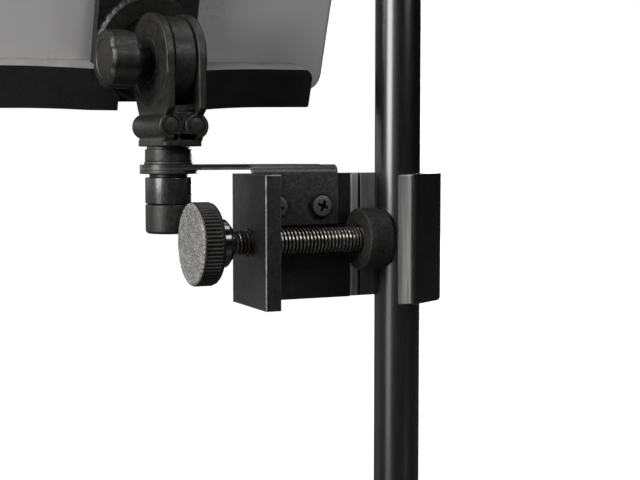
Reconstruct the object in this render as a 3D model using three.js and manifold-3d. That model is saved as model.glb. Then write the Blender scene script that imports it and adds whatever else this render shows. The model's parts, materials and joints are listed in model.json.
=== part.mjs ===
// Tablet teleprompter clamped to a round pole. Millimetres, +Z up.
// The origin is the centre of the pole section's lower end. +X runs along the clamping screw,
// from its knob to the pole, and +Y runs from the open side of the clamp to its closed side.
import * as THREE from 'three';
import { mergeVertices } from 'three/addons/utils/BufferGeometryUtils.js';
import Module from 'manifold-3d';

const wasm = await Module();
wasm.setup();

// ---------------------------------------------------------------- driving dimensions
const GAP = 0.3; // clearance between pieces that touch
const RAD = Math.PI / 180;

const POLE_R = 9;
const POLE_WALL = 1.4;
const CLAMP_BOTTOM = 78;
const CLAMP_H = 49.6;
const CLAMP_TOP = CLAMP_BOTTOM + CLAMP_H;
const POLE_TOP = CLAMP_TOP + 74;

// clamp frame, in plan, from the pole's axis
const JAW_LEFT = -63.5;
const JAW_WALL = 6;
const JAW_FRONT = -18.1;
const WEB_FRONT = 12.5;
const WEB_BACK = 15.9;
const V_ANGLE = 40 * RAD;
const V_FLAT = 10.2;
const V_TIP = -21.6;
const V_TIP_RIGHT = -3.6;
const V_BACK = 16.2;
const V_SHOULDER = [12.4, -12.5];
const V_BACK_LOW = -4;
const V_BACK_HIGH = 11;
const WEB_RIGHT = 11.3;
const SHANK_R = 2.4;
const SHANK_HOLE_R = SHANK_R + GAP;
const POCKET_DEPTH = 1.6;
const POCKET_LEFT = -14.7;
const LINER_THICK = 1.5;
const LINER_THICK_FRONT = 3.6;

// clamping screw
const SCREW_Z = -25.6;
const THREAD_R = 4.9;
const FOOT_R = 12;
const FOOT_LEFT = -17.6;
const FOOT_RIGHT = -POLE_R - GAP;
const FOOT_TIP = -6.7;
const KNOB_R = 15.5;
const KNOB_LEFT = -86;
const KNOB_THICK = 8.7;

// arm plate
const PLATE = 2;
const PLATE_Z = 1.4;
const TAB_LEFT = -57.2;
const TAB_RIGHT = -21.2;
const TAB_BOTTOM = -20;
const TAB_FACE = WEB_FRONT - GAP - PLATE;
const SCREW_XS = [-47.7, -28.8];
const TAB_SCREW_Z = -12.8;
const STUD_X = -86;
const STUD_Y = 25.2;
const EYE_R = 11;

// head
const PAN = 6.4 * RAD;
const STUD_R = 4;
const NECK_R = 9;
const YOKE_Z = 10.3;
const PIVOT_Z = 42.8;
const CHEEK_R = 17.9;
const CHEEK_IN = 4.9;
const CHEEK_OUT = 8.25;
const LOBE_Z = 17.9;
const LOBE_X = 5.2;
const LOBE_R = 4.95;
const LOBE_FRONT = -15;
const LOBE_BACK = 12;
const LOBE_CAP_R = 3.2;
const TILT_BORE_R = 3.2;

// cradle, in the tilting frame: x across, y away from the yoke, z up the tablet
const TILT = 18.15 * RAD;
const ROLL = 1.3 * RAD;
const HUB_R = 21.6;
const KNUCKLE_R = 16.8;
const DISC_Y = CHEEK_R + 0.4; // back face of the hub disc
const SPINE_HALF = 21;
const SPINE_Y = 21.8;
const SPINE_TOP = 118;
const LIP_BACK = 17.3;
const LIP_BOTTOM = -23.5;
const LIP_TOP = -7;
const LIP_HALF = 75.5;
const TABLET_HALF = 86.6;
const TABLET_LEN = 245;
const TABLET_Y = 27.6;
const TABLET_THICK = 7.5;
const TABLET_BOTTOM = -19.7;
const TABLET_TOP = TABLET_BOTTOM + TABLET_LEN;

// ---------------------------------------------------------------- finishes
function finish(color, roughness, metalness) {
  return new THREE.MeshStandardMaterial({ color, roughness, metalness });
}

const satinBlack = () => finish(0x1d1d1e, 0.55, 0.3);
const gloss = () => finish(0x0c0c0d, 0.2, 0.4);
const blackPlastic = () => finish(0x222224, 0.6, 0);
const darkSteel = () => finish(0x39393b, 0.35, 0.9);
const brightSteel = () => finish(0xa8a8a8, 0.3, 1);
const rubber = () => finish(0x2b2b2c, 0.85, 0);
const greyLiner = () => finish(0x6f7072, 0.5, 0.2);

// ---------------------------------------------------------------- shape helpers
function signedVolume(points, triangles) {
  let volume = 0;
  const a = new THREE.Vector3();
  const b = new THREE.Vector3();
  const c = new THREE.Vector3();
  for (let i = 0; i < triangles.length; i += 3) {
    a.fromArray(points, triangles[i] * 3);
    b.fromArray(points, triangles[i + 1] * 3);
    c.fromArray(points, triangles[i + 2] * 3);
    volume += a.dot(b.cross(c)) / 6;
  }
  return volume;
}

// A closed geometry as a solid: shared corners merged, slivers dropped, faces turned outward.
function toSolid(geometry) {
  geometry.deleteAttribute('normal');
  geometry.deleteAttribute('uv');
  const merged = mergeVertices(geometry, 1e-4);
  const points = merged.attributes.position.array;
  const index = merged.index.array;
  const triangles = [];
  for (let i = 0; i < index.length; i += 3) {
    const [a, b, c] = [index[i], index[i + 1], index[i + 2]];
    if (a !== b && b !== c && c !== a) triangles.push(a, b, c);
  }
  if (signedVolume(points, triangles) < 0) {
    for (let i = 0; i < triangles.length; i += 3) {
      [triangles[i], triangles[i + 1]] = [triangles[i + 1], triangles[i]];
    }
  }
  const triVerts = new Uint32Array(triangles);
  return new wasm.Manifold(new wasm.Mesh({ numProp: 3, vertProperties: points, triVerts }));
}

function toGeometry(solid) {
  const mesh = solid.getMesh();
  const geometry = new THREE.BufferGeometry();
  geometry.setAttribute('position', new THREE.BufferAttribute(mesh.vertProperties, mesh.numProp));
  geometry.setIndex(new THREE.BufferAttribute(mesh.triVerts, 1));
  return geometry;
}

function part(name, solid, material) {
  const mesh = new THREE.Mesh(toGeometry(solid), material);
  mesh.name = name;
  return mesh;
}

function block(x, y, z) {
  const box = new THREE.BoxGeometry(x[1] - x[0], y[1] - y[0], z[1] - z[0]);
  box.translate((x[0] + x[1]) / 2, (y[0] + y[1]) / 2, (z[0] + z[1]) / 2);
  return toSolid(box);
}

// A profile of [radius, height] pairs turned round an axis. It closes on the axis or on itself.
function turned(axis, profile, segments = 24) {
  const points = profile.map(([r, h]) => new THREE.Vector2(r, h));
  const lathe = new THREE.LatheGeometry(points, segments);
  if (axis === 'x') lathe.rotateZ(-Math.PI / 2);
  if (axis === 'z') lathe.rotateX(Math.PI / 2);
  return toSolid(lathe);
}

function rod(axis, r, from, to, segments = 24) {
  return turned(axis, [[0, from], [r, from], [r, to], [0, to]], segments);
}

function ring(axis, inner, outer, from, to, segments = 24) {
  const profile = [[inner, from], [outer, from], [outer, to], [inner, to], [inner, from]];
  return turned(axis, profile, segments);
}

// An outline pushed along an axis. Its own two axes are the other two, in X, Y, Z order.
function pushed(axis, outline, from, to, curveSegments = 8) {
  const depth = to - from;
  const geometry = new THREE.ExtrudeGeometry(outline, { depth, bevelEnabled: false, curveSegments });
  geometry.translate(0, 0, from);
  const [x, y, z] = [[1, 0, 0], [0, 1, 0], [0, 0, 1]].map((v) => new THREE.Vector3(...v));
  if (axis === 'x') geometry.applyMatrix4(new THREE.Matrix4().makeBasis(y, z, x));
  if (axis === 'y') {
    geometry.translate(0, 0, -from - to);
    geometry.applyMatrix4(new THREE.Matrix4().makeBasis(x, z, y.negate()));
  }
  return toSolid(geometry);
}

function polygon(points) {
  return new THREE.Shape(points.map(([a, b]) => new THREE.Vector2(a, b)));
}

function roundedRect(x, y, r) {
  const shape = new THREE.Shape();
  shape.moveTo(x[0] + r, y[0]);
  shape.absarc(x[1] - r, y[0] + r, r, -Math.PI / 2, 0);
  shape.absarc(x[1] - r, y[1] - r, r, 0, Math.PI / 2);
  shape.absarc(x[0] + r, y[1] - r, r, Math.PI / 2, Math.PI);
  shape.absarc(x[0] + r, y[0] + r, r, Math.PI, Math.PI * 1.5);
  return shape;
}

function placed(solid, x, y, z) {
  return solid.translate([x, y, z]);
}

function joined(first, ...others) {
  return others.reduce((sum, next) => sum.add(next), first);
}

function cut(first, ...tools) {
  return tools.reduce((rest, tool) => rest.subtract(tool), first);
}

// ---------------------------------------------------------------- pole section
function poleParts() {
  const inner = POLE_R - POLE_WALL;
  const spigot = inner - GAP;
  const flange = 1.5;
  const tube = ring('z', inner, POLE_R, flange + GAP, POLE_TOP, 40);
  const plug = turned('z', [[0, 0], [POLE_R - 0.5, 0], [POLE_R, 0.5], [POLE_R, flange],
    [spigot, flange], [spigot, 14], [0, 14]]);
  const collarTop = POLE_TOP + 4.3;
  const threadR = 7.9;
  const studTop = POLE_TOP + 15;
  const stud = turned('z', [[0, POLE_TOP - 12], [spigot, POLE_TOP - 12], [spigot, POLE_TOP - 0.2],
    [5, POLE_TOP - 0.2], [5, collarTop + GAP], [threadR, collarTop + GAP],
    [threadR, studTop - 1], [threadR - 1, studTop], [0, studTop]]);
  return [
    part('pole_tube', tube, finish(0x141414, 0.35, 0.5)),
    part('pole_bottom_plug', plug, darkSteel()),
    part('pole_top_collar', ring('z', 5.3, 9.6, POLE_TOP + GAP, collarTop, 32), darkSteel()),
    part('pole_top_stud', stud, brightSteel()),
  ];
}

// ---------------------------------------------------------------- clamp frame and liners
// The V-jaw's two faces lie on lines at V_ANGLE to the X axis, each a given distance from the pole's
// axis. side is -1 for the front face and 1 for the back face.
function faceX(distance, side, y) {
  return (distance - side * y * Math.cos(V_ANGLE)) / Math.sin(V_ANGLE);
}

function faceY(distance, side, x) {
  return (side * (distance - x * Math.sin(V_ANGLE))) / Math.cos(V_ANGLE);
}

function clampFrame() {
  const frontLine = POLE_R + GAP + LINER_THICK_FRONT + GAP;
  const backLine = POLE_R + GAP + LINER_THICK + GAP;
  const pocketY = WEB_FRONT + POCKET_DEPTH;
  const outline = polygon([
    [JAW_LEFT, JAW_FRONT],
    [JAW_LEFT + JAW_WALL, JAW_FRONT],
    [JAW_LEFT + JAW_WALL, WEB_FRONT],
    [POCKET_LEFT, WEB_FRONT],
    [POCKET_LEFT, pocketY],
    [faceX(backLine, 1, pocketY), pocketY],
    [V_FLAT, faceY(backLine, 1, V_FLAT)],
    [V_FLAT, faceY(frontLine, -1, V_FLAT)],
    [faceX(frontLine, -1, V_TIP), V_TIP],
    [V_TIP_RIGHT, V_TIP],
    V_SHOULDER,
    [V_BACK, V_BACK_LOW],
    [V_BACK, V_BACK_HIGH],
    [WEB_RIGHT, WEB_BACK],
    [JAW_LEFT, WEB_BACK],
  ]);
  const edge = polygon([[WEB_FRONT - 1, -CLAMP_H - 1], [WEB_FRONT + 1, -CLAMP_H - 1],
    [WEB_FRONT - 1, -CLAMP_H + 1]]);
  const screwHole = rod('y', SHANK_HOLE_R, WEB_FRONT - 1, WEB_BACK + 1, 24);
  const screwHoles = SCREW_XS.map((x) => placed(screwHole, x, 0, TAB_SCREW_Z));
  return cut(
    pushed('z', outline, -CLAMP_H, 0),
    placed(rod('x', THREAD_R + 0.4, JAW_LEFT - 1, JAW_LEFT + JAW_WALL + 1, 32), 0, 0, SCREW_Z),
    pushed('x', edge, JAW_LEFT + JAW_WALL, POCKET_LEFT - 0.5),
    ...screwHoles,
  );
}

function liners() {
  const near = POLE_R + GAP;
  const end = V_FLAT - GAP;
  const frontFar = near + LINER_THICK_FRONT;
  const front = polygon([
    [faceX(near, -1, V_TIP), V_TIP],
    [faceX(frontFar, -1, V_TIP), V_TIP],
    [end, faceY(frontFar, -1, end)],
    [end, faceY(near, -1, end)],
  ]);
  const flatY = WEB_FRONT - 0.2;
  const deepY = WEB_FRONT + POCKET_DEPTH - GAP;
  const backFar = near + LINER_THICK;
  const back = polygon([
    [-9.95, flatY],
    [faceX(near, 1, flatY), flatY],
    [end, faceY(near, 1, end)],
    [end, faceY(backFar, 1, end)],
    [faceX(backFar, 1, deepY), deepY],
    [-9.95, deepY],
  ]);
  return [
    part('jaw_liner_front', pushed('z', front, -CLAMP_H + 0.4, -0.4), greyLiner()),
    part('jaw_liner_back', pushed('z', back, -CLAMP_H + 0.4, -0.4), finish(0x4c4a4b, 0.7, 0)),
    part('jaw_trim_strip', block([POCKET_LEFT + GAP, -11.1], [flatY, deepY],
      [-CLAMP_H + 0.4, -0.4]), greyLiner()),
  ];
}

// ---------------------------------------------------------------- arm plate and its fasteners
function armPlate() {
  const bendCentre = WEB_FRONT + 1.1;
  const outerR = bendCentre - TAB_FACE;
  const back = STUD_Y + EYE_R;
  const cornerR = 9;
  const flat = new THREE.Shape();
  flat.moveTo(TAB_RIGHT, bendCentre);
  flat.absarc(TAB_RIGHT - cornerR, back - cornerR, cornerR, 0, Math.PI / 2);
  flat.absarc(STUD_X, STUD_Y, EYE_R, Math.PI / 2, Math.PI * 1.5);
  flat.lineTo(TAB_LEFT, bendCentre);
  const profile = new THREE.Shape();
  profile.moveTo(bendCentre + 1, PLATE_Z + PLATE);
  profile.absarc(bendCentre, 0, outerR, Math.PI / 2, Math.PI);
  profile.lineTo(TAB_FACE, TAB_BOTTOM);
  profile.lineTo(TAB_FACE + PLATE, TAB_BOTTOM);
  profile.absarc(bendCentre, 0, outerR - PLATE, Math.PI, Math.PI / 2, true);
  profile.lineTo(bendCentre + 1, PLATE_Z);
  const hole = rod('y', SHANK_HOLE_R, TAB_FACE - 1, WEB_FRONT, 24);
  const holes = SCREW_XS.map((x) => placed(hole, x, 0, TAB_SCREW_Z));
  const top = pushed('z', flat, PLATE_Z, PLATE_Z + PLATE, 16);
  const tab = pushed('x', profile, TAB_LEFT, TAB_RIGHT, 10);
  const eye = placed(rod('z', STUD_R + 0.4, 0, 5, 32), STUD_X, STUD_Y, 0);
  return cut(joined(top, tab), eye, ...holes);
}

function tabScrew(name, x) {
  const headBack = TAB_FACE - GAP;
  const headR = 4.8;
  const end = WEB_BACK + 1;
  const body = turned('y', [[0, end], [SHANK_R, end], [SHANK_R, headBack], [headR, headBack],
    [headR, headBack - 1.2], [headR * 0.8, headBack - 2.1], [0, headBack - 2.4]], 24);
  const slotHalf = 2.7;
  const slot = block([-slotHalf, slotHalf], [headBack - 3, headBack - 1.1], [-0.6, 0.6]);
  const cross = joined(slot.rotate([0, 22, 0]), slot.rotate([0, 112, 0]));
  return part(name, placed(cut(body, cross), x, 0, TAB_SCREW_Z), darkSteel());
}

// ---------------------------------------------------------------- clamping screw and foot
function screwParts() {
  const knobRight = KNOB_LEFT + KNOB_THICK;
  const hubLeft = knobRight + GAP;
  const threadStart = -69.2;
  const knob = turned('x', [[0, KNOB_LEFT], [KNOB_R - 1, KNOB_LEFT], [KNOB_R, KNOB_LEFT + 1],
    [KNOB_R, knobRight - 1], [KNOB_R - 1, knobRight], [3.2, knobRight], [3.2, KNOB_LEFT + 2],
    [0, KNOB_LEFT + 2]], 32);
  const hub = turned('x', [[3.2, hubLeft], [9, hubLeft], [9, hubLeft + 4.8], [6.5, hubLeft + 6.4],
    [4.6, hubLeft + 6.7], [4.6, threadStart - GAP], [3.2, threadStart - GAP], [3.2, hubLeft]]);
  const screwLeft = KNOB_LEFT + 2.4;
  const screwTip = -13;
  const screw = turned('x', [[0, screwLeft], [2.9, screwLeft], [2.9, threadStart],
    [THREAD_R - 0.5, threadStart], [THREAD_R, threadStart + 0.5], [THREAD_R, screwTip - 1],
    [4, screwTip], [0, screwTip]]);
  return [
    part('knob', knob, blackPlastic()),
    part('knob_hub', hub, gloss()),
    part('clamp_screw', screw, darkSteel()),
  ];
}

function footParts() {
  const cupLeft = FOOT_LEFT + 1.6;
  const cupR = 7;
  const pocketEnd = FOOT_RIGHT - 2;
  const mouthR = THREAD_R + 0.4;
  const solid = turned('x', [[0, FOOT_TIP], [FOOT_R - 1, FOOT_TIP], [FOOT_R, FOOT_TIP - 0.9],
    [FOOT_R, FOOT_LEFT + 0.4], [FOOT_R - 0.4, FOOT_LEFT], [mouthR, FOOT_LEFT],
    [mouthR, cupLeft - GAP], [cupR + GAP, cupLeft - GAP], [cupR + GAP, pocketEnd], [0, pocketEnd]], 32);
  const pad = cut(solid, rod('z', -FOOT_RIGHT, -20, 20, 48)); // a saddle for the tube
  const cupEnd = pocketEnd - GAP;
  const cup = turned('x', [[0, cupEnd], [cupR, cupEnd], [cupR, cupLeft], [mouthR, cupLeft],
    [mouthR, cupEnd - 1], [0, cupEnd - 1]]);
  return [part('foot_pad', pad, rubber()), part('foot_cup', cup, brightSteel())];
}

// ---------------------------------------------------------------- head
function studParts() {
  const bore = STUD_R + 0.3;
  const nutTop = -1.5;
  const nutBottom = -11.5;
  const neckTop = YOKE_Z - GAP;
  const neck = turned('z', [[0, 8.3], [bore, 8.3], [bore, 4.6], [NECK_R, 4.6], [NECK_R, 9.3],
    [NECK_R - 0.6, 9.3], [NECK_R - 0.6, neckTop], [0, neckTop]], 32);
  const capTop = nutBottom - GAP;
  const cap = turned('z', [[0, -22.9], [NECK_R - 0.6, -22.9], [NECK_R, -22.3], [NECK_R, capTop],
    [6, capTop], [6, -14], [0, -14]], 32);
  return {
    head: [
      part('head_stud', rod('z', STUD_R, -10.5, 8, 32), brightSteel()),
      part('neck_washer', ring('z', bore, 9.3, PLATE_Z + PLATE + GAP, 4.3, 32), darkSteel()),
      part('head_neck', neck, blackPlastic()),
      part('eye_washer', ring('z', bore, EYE_R, -0.1, PLATE_Z - GAP, 32), darkSteel()),
      part('lock_washer', ring('z', bore, 7.4, -1.2, -0.4), brightSteel()),
    ],
    nut: [
      part('pan_nut', ring('z', bore, NECK_R, nutBottom, nutTop, 32), gloss()),
      part('pan_nut_cap', cap, blackPlastic()),
    ],
  };
}

function yoke() {
  const slotTop = 14.9;
  const floorZ = 23.4;
  const footFront = -14.2;
  const back = -25 * RAD;
  const cheek = new THREE.Shape();
  cheek.moveTo(-13, 18);
  cheek.lineTo(LOBE_FRONT + 0.4, 21.5);
  cheek.lineTo(-CHEEK_R, 24.3);
  cheek.lineTo(-CHEEK_R, PIVOT_Z);
  cheek.absarc(0, PIVOT_Z, CHEEK_R, Math.PI, back, true);
  cheek.lineTo(9, 20);
  const cheeks = [-1, 1].map((side) => {
    const faces = [side * CHEEK_IN, side * CHEEK_OUT].sort((a, b) => a - b);
    return pushed('x', cheek, faces[0], faces[1], 20);
  });
  const lobe = rod('y', LOBE_R, LOBE_FRONT, LOBE_BACK, 32);
  const lobes = [-1, 1].map((side) => placed(lobe, side * LOBE_X, 0, LOBE_Z));
  const socket = rod('y', LOBE_CAP_R + GAP, LOBE_FRONT - 1, LOBE_FRONT + 0.9, 32);
  const sockets = [-1, 1].map((side) => placed(socket, side * LOBE_X, 0, LOBE_Z));
  const flange = pushed('z', roundedRect([-8, 8], [footFront, LOBE_BACK - 0.1], 2), YOKE_Z, 12.7);
  const core = block([-5.4, 5.4], [footFront + 0.4, 11], [12.5, floorZ]);
  const foot = block([-7.9, 7.9], [footFront + 0.1, 9], [12.5, slotTop + 1]);
  const slotRib = block([-2.4, -1.5], [-17, -3], [12, 16]);
  const slot = cut(block([-4.2, 5.6], [footFront - 1, -6], [12.7, slotTop]), slotRib);
  return cut(
    joined(flange, core, foot, ...lobes, ...cheeks),
    slot,
    ...sockets,
    placed(rod('x', TILT_BORE_R, -10, 10, 32), 0, 0, PIVOT_Z),
  );
}

function lobeCap(name, side) {
  const disc = rod('y', LOBE_CAP_R, LOBE_FRONT + 0.2, LOBE_FRONT + 0.6, 32);
  return part(name, placed(disc, side * LOBE_X, 0, LOBE_Z), blackPlastic());
}

function tiltFasteners() {
  const bolt = turned('x', [[0, -17], [2.9, -17], [2.9, CHEEK_OUT + GAP], [6, CHEEK_OUT + GAP],
    [6, 11], [5.4, 11.6], [0, 11.6]]);
  const inner = -CHEEK_OUT - GAP;
  const grip = turned('x', [[0, -26], [10.2, -26], [11, -25.2], [11, -15.3], [10.2, -14.5], [4.5, -14.5],
    [4.5, inner], [3.2, inner], [3.2, -18], [0, -18]]);
  return {
    bolt: part('tilt_bolt', placed(bolt, 0, 0, PIVOT_Z), darkSteel()),
    knob: part('tilt_knob', placed(grip, 0, 0, PIVOT_Z), blackPlastic()),
  };
}

// ---------------------------------------------------------------- tilting knuckle and cradle
function knuckle() {
  const half = CHEEK_IN - 0.35;
  const end = DISC_Y - GAP;
  return cut(
    joined(rod('x', KNUCKLE_R, -half, half, 40), block([-half, half], [0, end], [-9, 10])),
    rod('x', TILT_BORE_R, -6, 6, 32),
    rod('y', 3.3, 12, end + 1, 32),
  );
}

function hubScrew() {
  const headLow = SPINE_Y + 1.6 + GAP;
  return turned('y', [[0, 12.4], [3, 12.4], [3, headLow], [6.5, headLow], [6.5, headLow + 1.2],
    [5.9, headLow + 1.8], [0, headLow + 1.8]], 32);
}

function spine() {
  const base = SPINE_Y + 1.6;
  const lipLow = base + 1.6;
  const top = lipLow + 1;
  const [w, inner, mouth] = [SPINE_HALF, SPINE_HALF - 2.4, SPINE_HALF - 7];
  const section = polygon([
    [-w, SPINE_Y], [w, SPINE_Y], [w, top], [mouth, top], [mouth, lipLow], [inner, lipLow], [inner, base],
    [-inner, base], [-inner, lipLow], [-mouth, lipLow], [-mouth, top], [-w, top],
  ]);
  return cut(pushed('z', section, -19.5, SPINE_TOP), rod('y', 3.4, 20, 30, 32));
}

// The lower lip is a hollow bar behind the tablet, with a floor and a front edge that hold it.
// Its back wall swells towards the yoke on both sides of the hub.
function bottomLip() {
  const wall = 1.8;
  const swellStart = 52;
  const swellMiddle = 40;
  const swellEnd = 25;
  const swellDepth = 3.1;
  const hubNotch = 13;
  const pushX = [-LIP_HALF, LIP_HALF];
  const floorTop = TABLET_BOTTOM - 1.5;
  const frontEdge = TABLET_Y + TABLET_THICK + 1.6;
  const halves = [-1, 1].map((side) => {
    const outer = new THREE.Shape();
    outer.moveTo(side * LIP_HALF, LIP_BACK);
    outer.lineTo(side * swellStart, LIP_BACK);
    outer.quadraticCurveTo(side * swellMiddle, LIP_BACK, side * swellEnd, LIP_BACK - swellDepth);
    outer.lineTo(side * hubNotch, LIP_BACK - swellDepth - 0.7);
    outer.lineTo(side * hubNotch, LIP_BACK + wall);
    outer.lineTo(side * LIP_HALF, LIP_BACK + wall);
    return pushed('z', outer, LIP_BOTTOM, LIP_TOP, 10);
  });
  const inner = [-1, 1].map((side) => {
    const x = [side * (SPINE_HALF + 0.6), side * LIP_HALF].sort((a, b) => a - b);
    return block(x, [TABLET_Y - GAP - 1.4, TABLET_Y - GAP], [LIP_BOTTOM, LIP_TOP]);
  });
  const ribs = [-66, -50, -34, 34, 50, 66].map((x) => block([x - 0.8, x + 0.8],
    [LIP_BACK + 0.5, TABLET_Y - 1], [LIP_BOTTOM + 4, LIP_TOP - 0.5]));
  const whole = joined(
    ...halves,
    ...inner,
    ...ribs,
    block(pushX, [LIP_BACK, TABLET_Y - GAP], [LIP_TOP - wall, LIP_TOP]),
    block(pushX, [TABLET_Y - 1.7, frontEdge + 2], [LIP_BOTTOM, floorTop]),
    block(pushX, [frontEdge, frontEdge + 2], [LIP_BOTTOM, floorTop + 8]),
  );
  const [topR, bottomR] = [4.5, 1];
  const outline = new THREE.Shape();
  outline.absarc(LIP_HALF - topR, LIP_TOP - topR, topR, 0, Math.PI / 2);
  outline.absarc(topR - LIP_HALF, LIP_TOP - topR, topR, Math.PI / 2, Math.PI);
  outline.absarc(bottomR - LIP_HALF, LIP_BOTTOM + bottomR, bottomR, Math.PI, Math.PI * 1.5);
  outline.absarc(LIP_HALF - bottomR, LIP_BOTTOM + bottomR, bottomR, Math.PI * 1.5, Math.PI * 2);
  return cut(
    whole.intersect(pushed('y', outline, 0, 50, 6)),
    block([-hubNotch, hubNotch], [0, SPINE_Y - GAP], [-40, 0]),
    block([-SPINE_HALF - GAP, SPINE_HALF + GAP], [SPINE_Y - GAP, 26.3], [-19.8, 0]),
    turned('y', [[0, 10], [HUB_R + 0.4, 10], [HUB_R + 0.4, SPINE_Y], [0, SPINE_Y]], 32),
  );
}

function cradleParts() {
  const base = SPINE_Y + 1.6;
  const padLow = base + 2.6 + GAP;
  const pads = [-1, 1].map((side) => {
    const x = [side * 15, side * 20].sort((a, b) => a - b);
    const name = side < 0 ? 'spine_pad_left' : 'spine_pad_right';
    return part(name, block(x, [padLow, TABLET_Y - GAP], [-4, SPINE_TOP - 6]), rubber());
  });
  const springs = [-1, 1].map((side) => {
    const name = side < 0 ? 'return_spring_left' : 'return_spring_right';
    return part(name, placed(rod('z', 0.55, 16, 60, 12), side * 8, base + 0.8, 0), brightSteel());
  });
  const disc = turned('y', [[3.4, DISC_Y], [HUB_R - 1.2, DISC_Y], [HUB_R, DISC_Y + 1.2],
    [HUB_R, SPINE_Y - GAP], [3.4, SPINE_Y - GAP], [3.4, DISC_Y]], 40);
  const lipPad = block([-LIP_HALF + 4, LIP_HALF - 4], [TABLET_Y, TABLET_Y + TABLET_THICK + 1],
    [TABLET_BOTTOM - 1.2, TABLET_BOTTOM - GAP]);
  return [
    part('hub_disc', disc, blackPlastic()),
    part('spine', spine(), satinBlack()),
    part('bottom_lip', bottomLip(), blackPlastic()),
    part('lip_pad', lipPad, rubber()),
    part('spring_cover', block([-13.7, 13.7], [base + 1.6, base + 2.4], [14, 66]), blackPlastic()),
    ...pads,
    ...springs,
  ];
}

// ---------------------------------------------------------------- sprung top arm
function topArmParts() {
  const strapLow = SPINE_Y + 1.6 + GAP;
  const strapHigh = strapLow + 1;
  const hookLow = strapHigh + GAP;
  const under = TABLET_TOP + 1.5;
  const over = under + 2.7;
  const frontEdge = TABLET_Y + TABLET_THICK + 1.6;
  const half = 35;
  const strap = pushed('y', roundedRect([-SPINE_HALF + 2.7, SPINE_HALF - 2.7], [64, over - 1], 3),
    strapLow, strapHigh);
  const hook = joined(
    block([-half, half], [hookLow, TABLET_Y - GAP], [TABLET_TOP - 14, over]),
    block([-half, half], [hookLow, frontEdge + 2], [under, over]),
    block([-half, half], [frontEdge, frontEdge + 2], [TABLET_TOP - 7, over]),
  ).intersect(pushed('y', roundedRect([-half, half], [TABLET_TOP - 14, over], 4), 0, 50, 6));
  const pad = block([-half + 3, half - 3], [TABLET_Y, TABLET_Y + TABLET_THICK + 1],
    [TABLET_TOP + GAP, under - GAP]);
  const rivetR = 2.6;
  const rivet = turned('y', [[0, strapLow - 1.5], [2, strapLow - 1.4], [rivetR, strapLow - 0.6],
    [rivetR, strapLow - GAP], [0, strapLow - GAP]], 20);
  const rivets = [-10, 10].map((x) => {
    const name = x < 0 ? 'hook_rivet_left' : 'hook_rivet_right';
    return part(name, placed(rivet, x, 0, over - 9), brightSteel());
  });
  return [
    part('top_arm', strap, darkSteel()),
    part('top_hook', hook, blackPlastic()),
    part('top_hook_pad', pad, rubber()),
    ...rivets,
  ];
}

// ---------------------------------------------------------------- tablet
const BUTTON_PROUD = 0.7;
const BUTTON_DEEP = 1.6;

function tabletOutline(inset) {
  const x = [-TABLET_HALF + inset, TABLET_HALF - inset];
  return roundedRect(x, [TABLET_BOTTOM + inset, TABLET_TOP - inset], 8 - inset);
}

function tabletParts() {
  const front = TABLET_Y + TABLET_THICK;
  const middle = TABLET_Y + TABLET_THICK / 2;
  const lens = [-74, TABLET_TOP - 13];
  const shell = cut(
    pushed('y', tabletOutline(0), TABLET_Y, front - 0.2, 8),
    pushed('y', tabletOutline(1.4), front - 1.3, front + 1, 8),
    placed(rod('y', 3.9, TABLET_Y - 1, TABLET_Y + 1.6, 32), lens[0], 0, lens[1]),
    block([-76.3, -63.7], [middle - 1.6, middle + 1.6], [TABLET_TOP - BUTTON_DEEP, TABLET_TOP + 1]),
    ...[180, 196].map((z) => block([TABLET_HALF - BUTTON_DEEP, TABLET_HALF + 1],
      [middle - 1.6, middle + 1.6], [z - 6.3, z + 6.3])),
  );
  const lensRing = turned('y', [[0, TABLET_Y + 0.6], [2.2, TABLET_Y + 0.6], [2.2, TABLET_Y - 0.5],
    [3.2, TABLET_Y - 0.5], [3.6, TABLET_Y], [3.6, TABLET_Y + 1.2], [0, TABLET_Y + 1.2]], 32);
  return [
    part('tablet_shell', shell, finish(0x77787a, 0.35, 0.7)),
    part('tablet_glass', pushed('y', tabletOutline(1.7), front - 1, front, 8), finish(0x050506, 0.08, 0)),
    part('camera_ring', placed(lensRing, lens[0], 0, lens[1]), gloss()),
  ];
}

function tabletButtons() {
  const middle = TABLET_Y + TABLET_THICK / 2;
  const y = [middle - 1.3, middle + 1.3];
  const keyDeep = BUTTON_DEEP - 0.8;
  const keyX = [TABLET_HALF - keyDeep, TABLET_HALF + BUTTON_PROUD];
  const metal = () => finish(0x6d6e70, 0.35, 0.8);
  return [
    part('power_button', block([-76, -64], y, [TABLET_TOP - keyDeep, TABLET_TOP + BUTTON_PROUD]), metal()),
    part('volume_down', block(keyX, y, [174, 186]), metal()),
    part('volume_up', block(keyX, y, [190, 202]), metal()),
  ];
}

// ---------------------------------------------------------------- assembly
const teleprompter = new THREE.Group();
teleprompter.add(...poleParts());

const clamp = new THREE.Group();
clamp.position.z = CLAMP_TOP;
clamp.add(
  part('clamp_frame', clampFrame(), satinBlack()),
  ...liners(),
  part('arm_plate', armPlate(), satinBlack()),
  tabScrew('tab_screw_left', SCREW_XS[0]),
  tabScrew('tab_screw_right', SCREW_XS[1]),
);
teleprompter.add(clamp);

const screwLine = new THREE.Group();
screwLine.position.z = SCREW_Z;
screwLine.add(...screwParts(), ...footParts());
clamp.add(screwLine);

const head = new THREE.Group();
head.position.set(STUD_X, STUD_Y, 0);
head.rotation.z = PAN;
const studStack = studParts();
const fasteners = tiltFasteners();
head.add(
  ...studStack.head,
  ...studStack.nut,
  part('yoke', yoke(), blackPlastic()),
  lobeCap('lobe_cap_left', -1),
  lobeCap('lobe_cap_right', 1),
  fasteners.bolt,
  fasteners.knob,
);
clamp.add(head);

const tilting = new THREE.Group();
tilting.position.z = PIVOT_Z;
tilting.rotation.x = TILT;
tilting.add(part('knuckle', knuckle(), blackPlastic()), part('hub_screw', hubScrew(), darkSteel()));
head.add(tilting);

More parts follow.
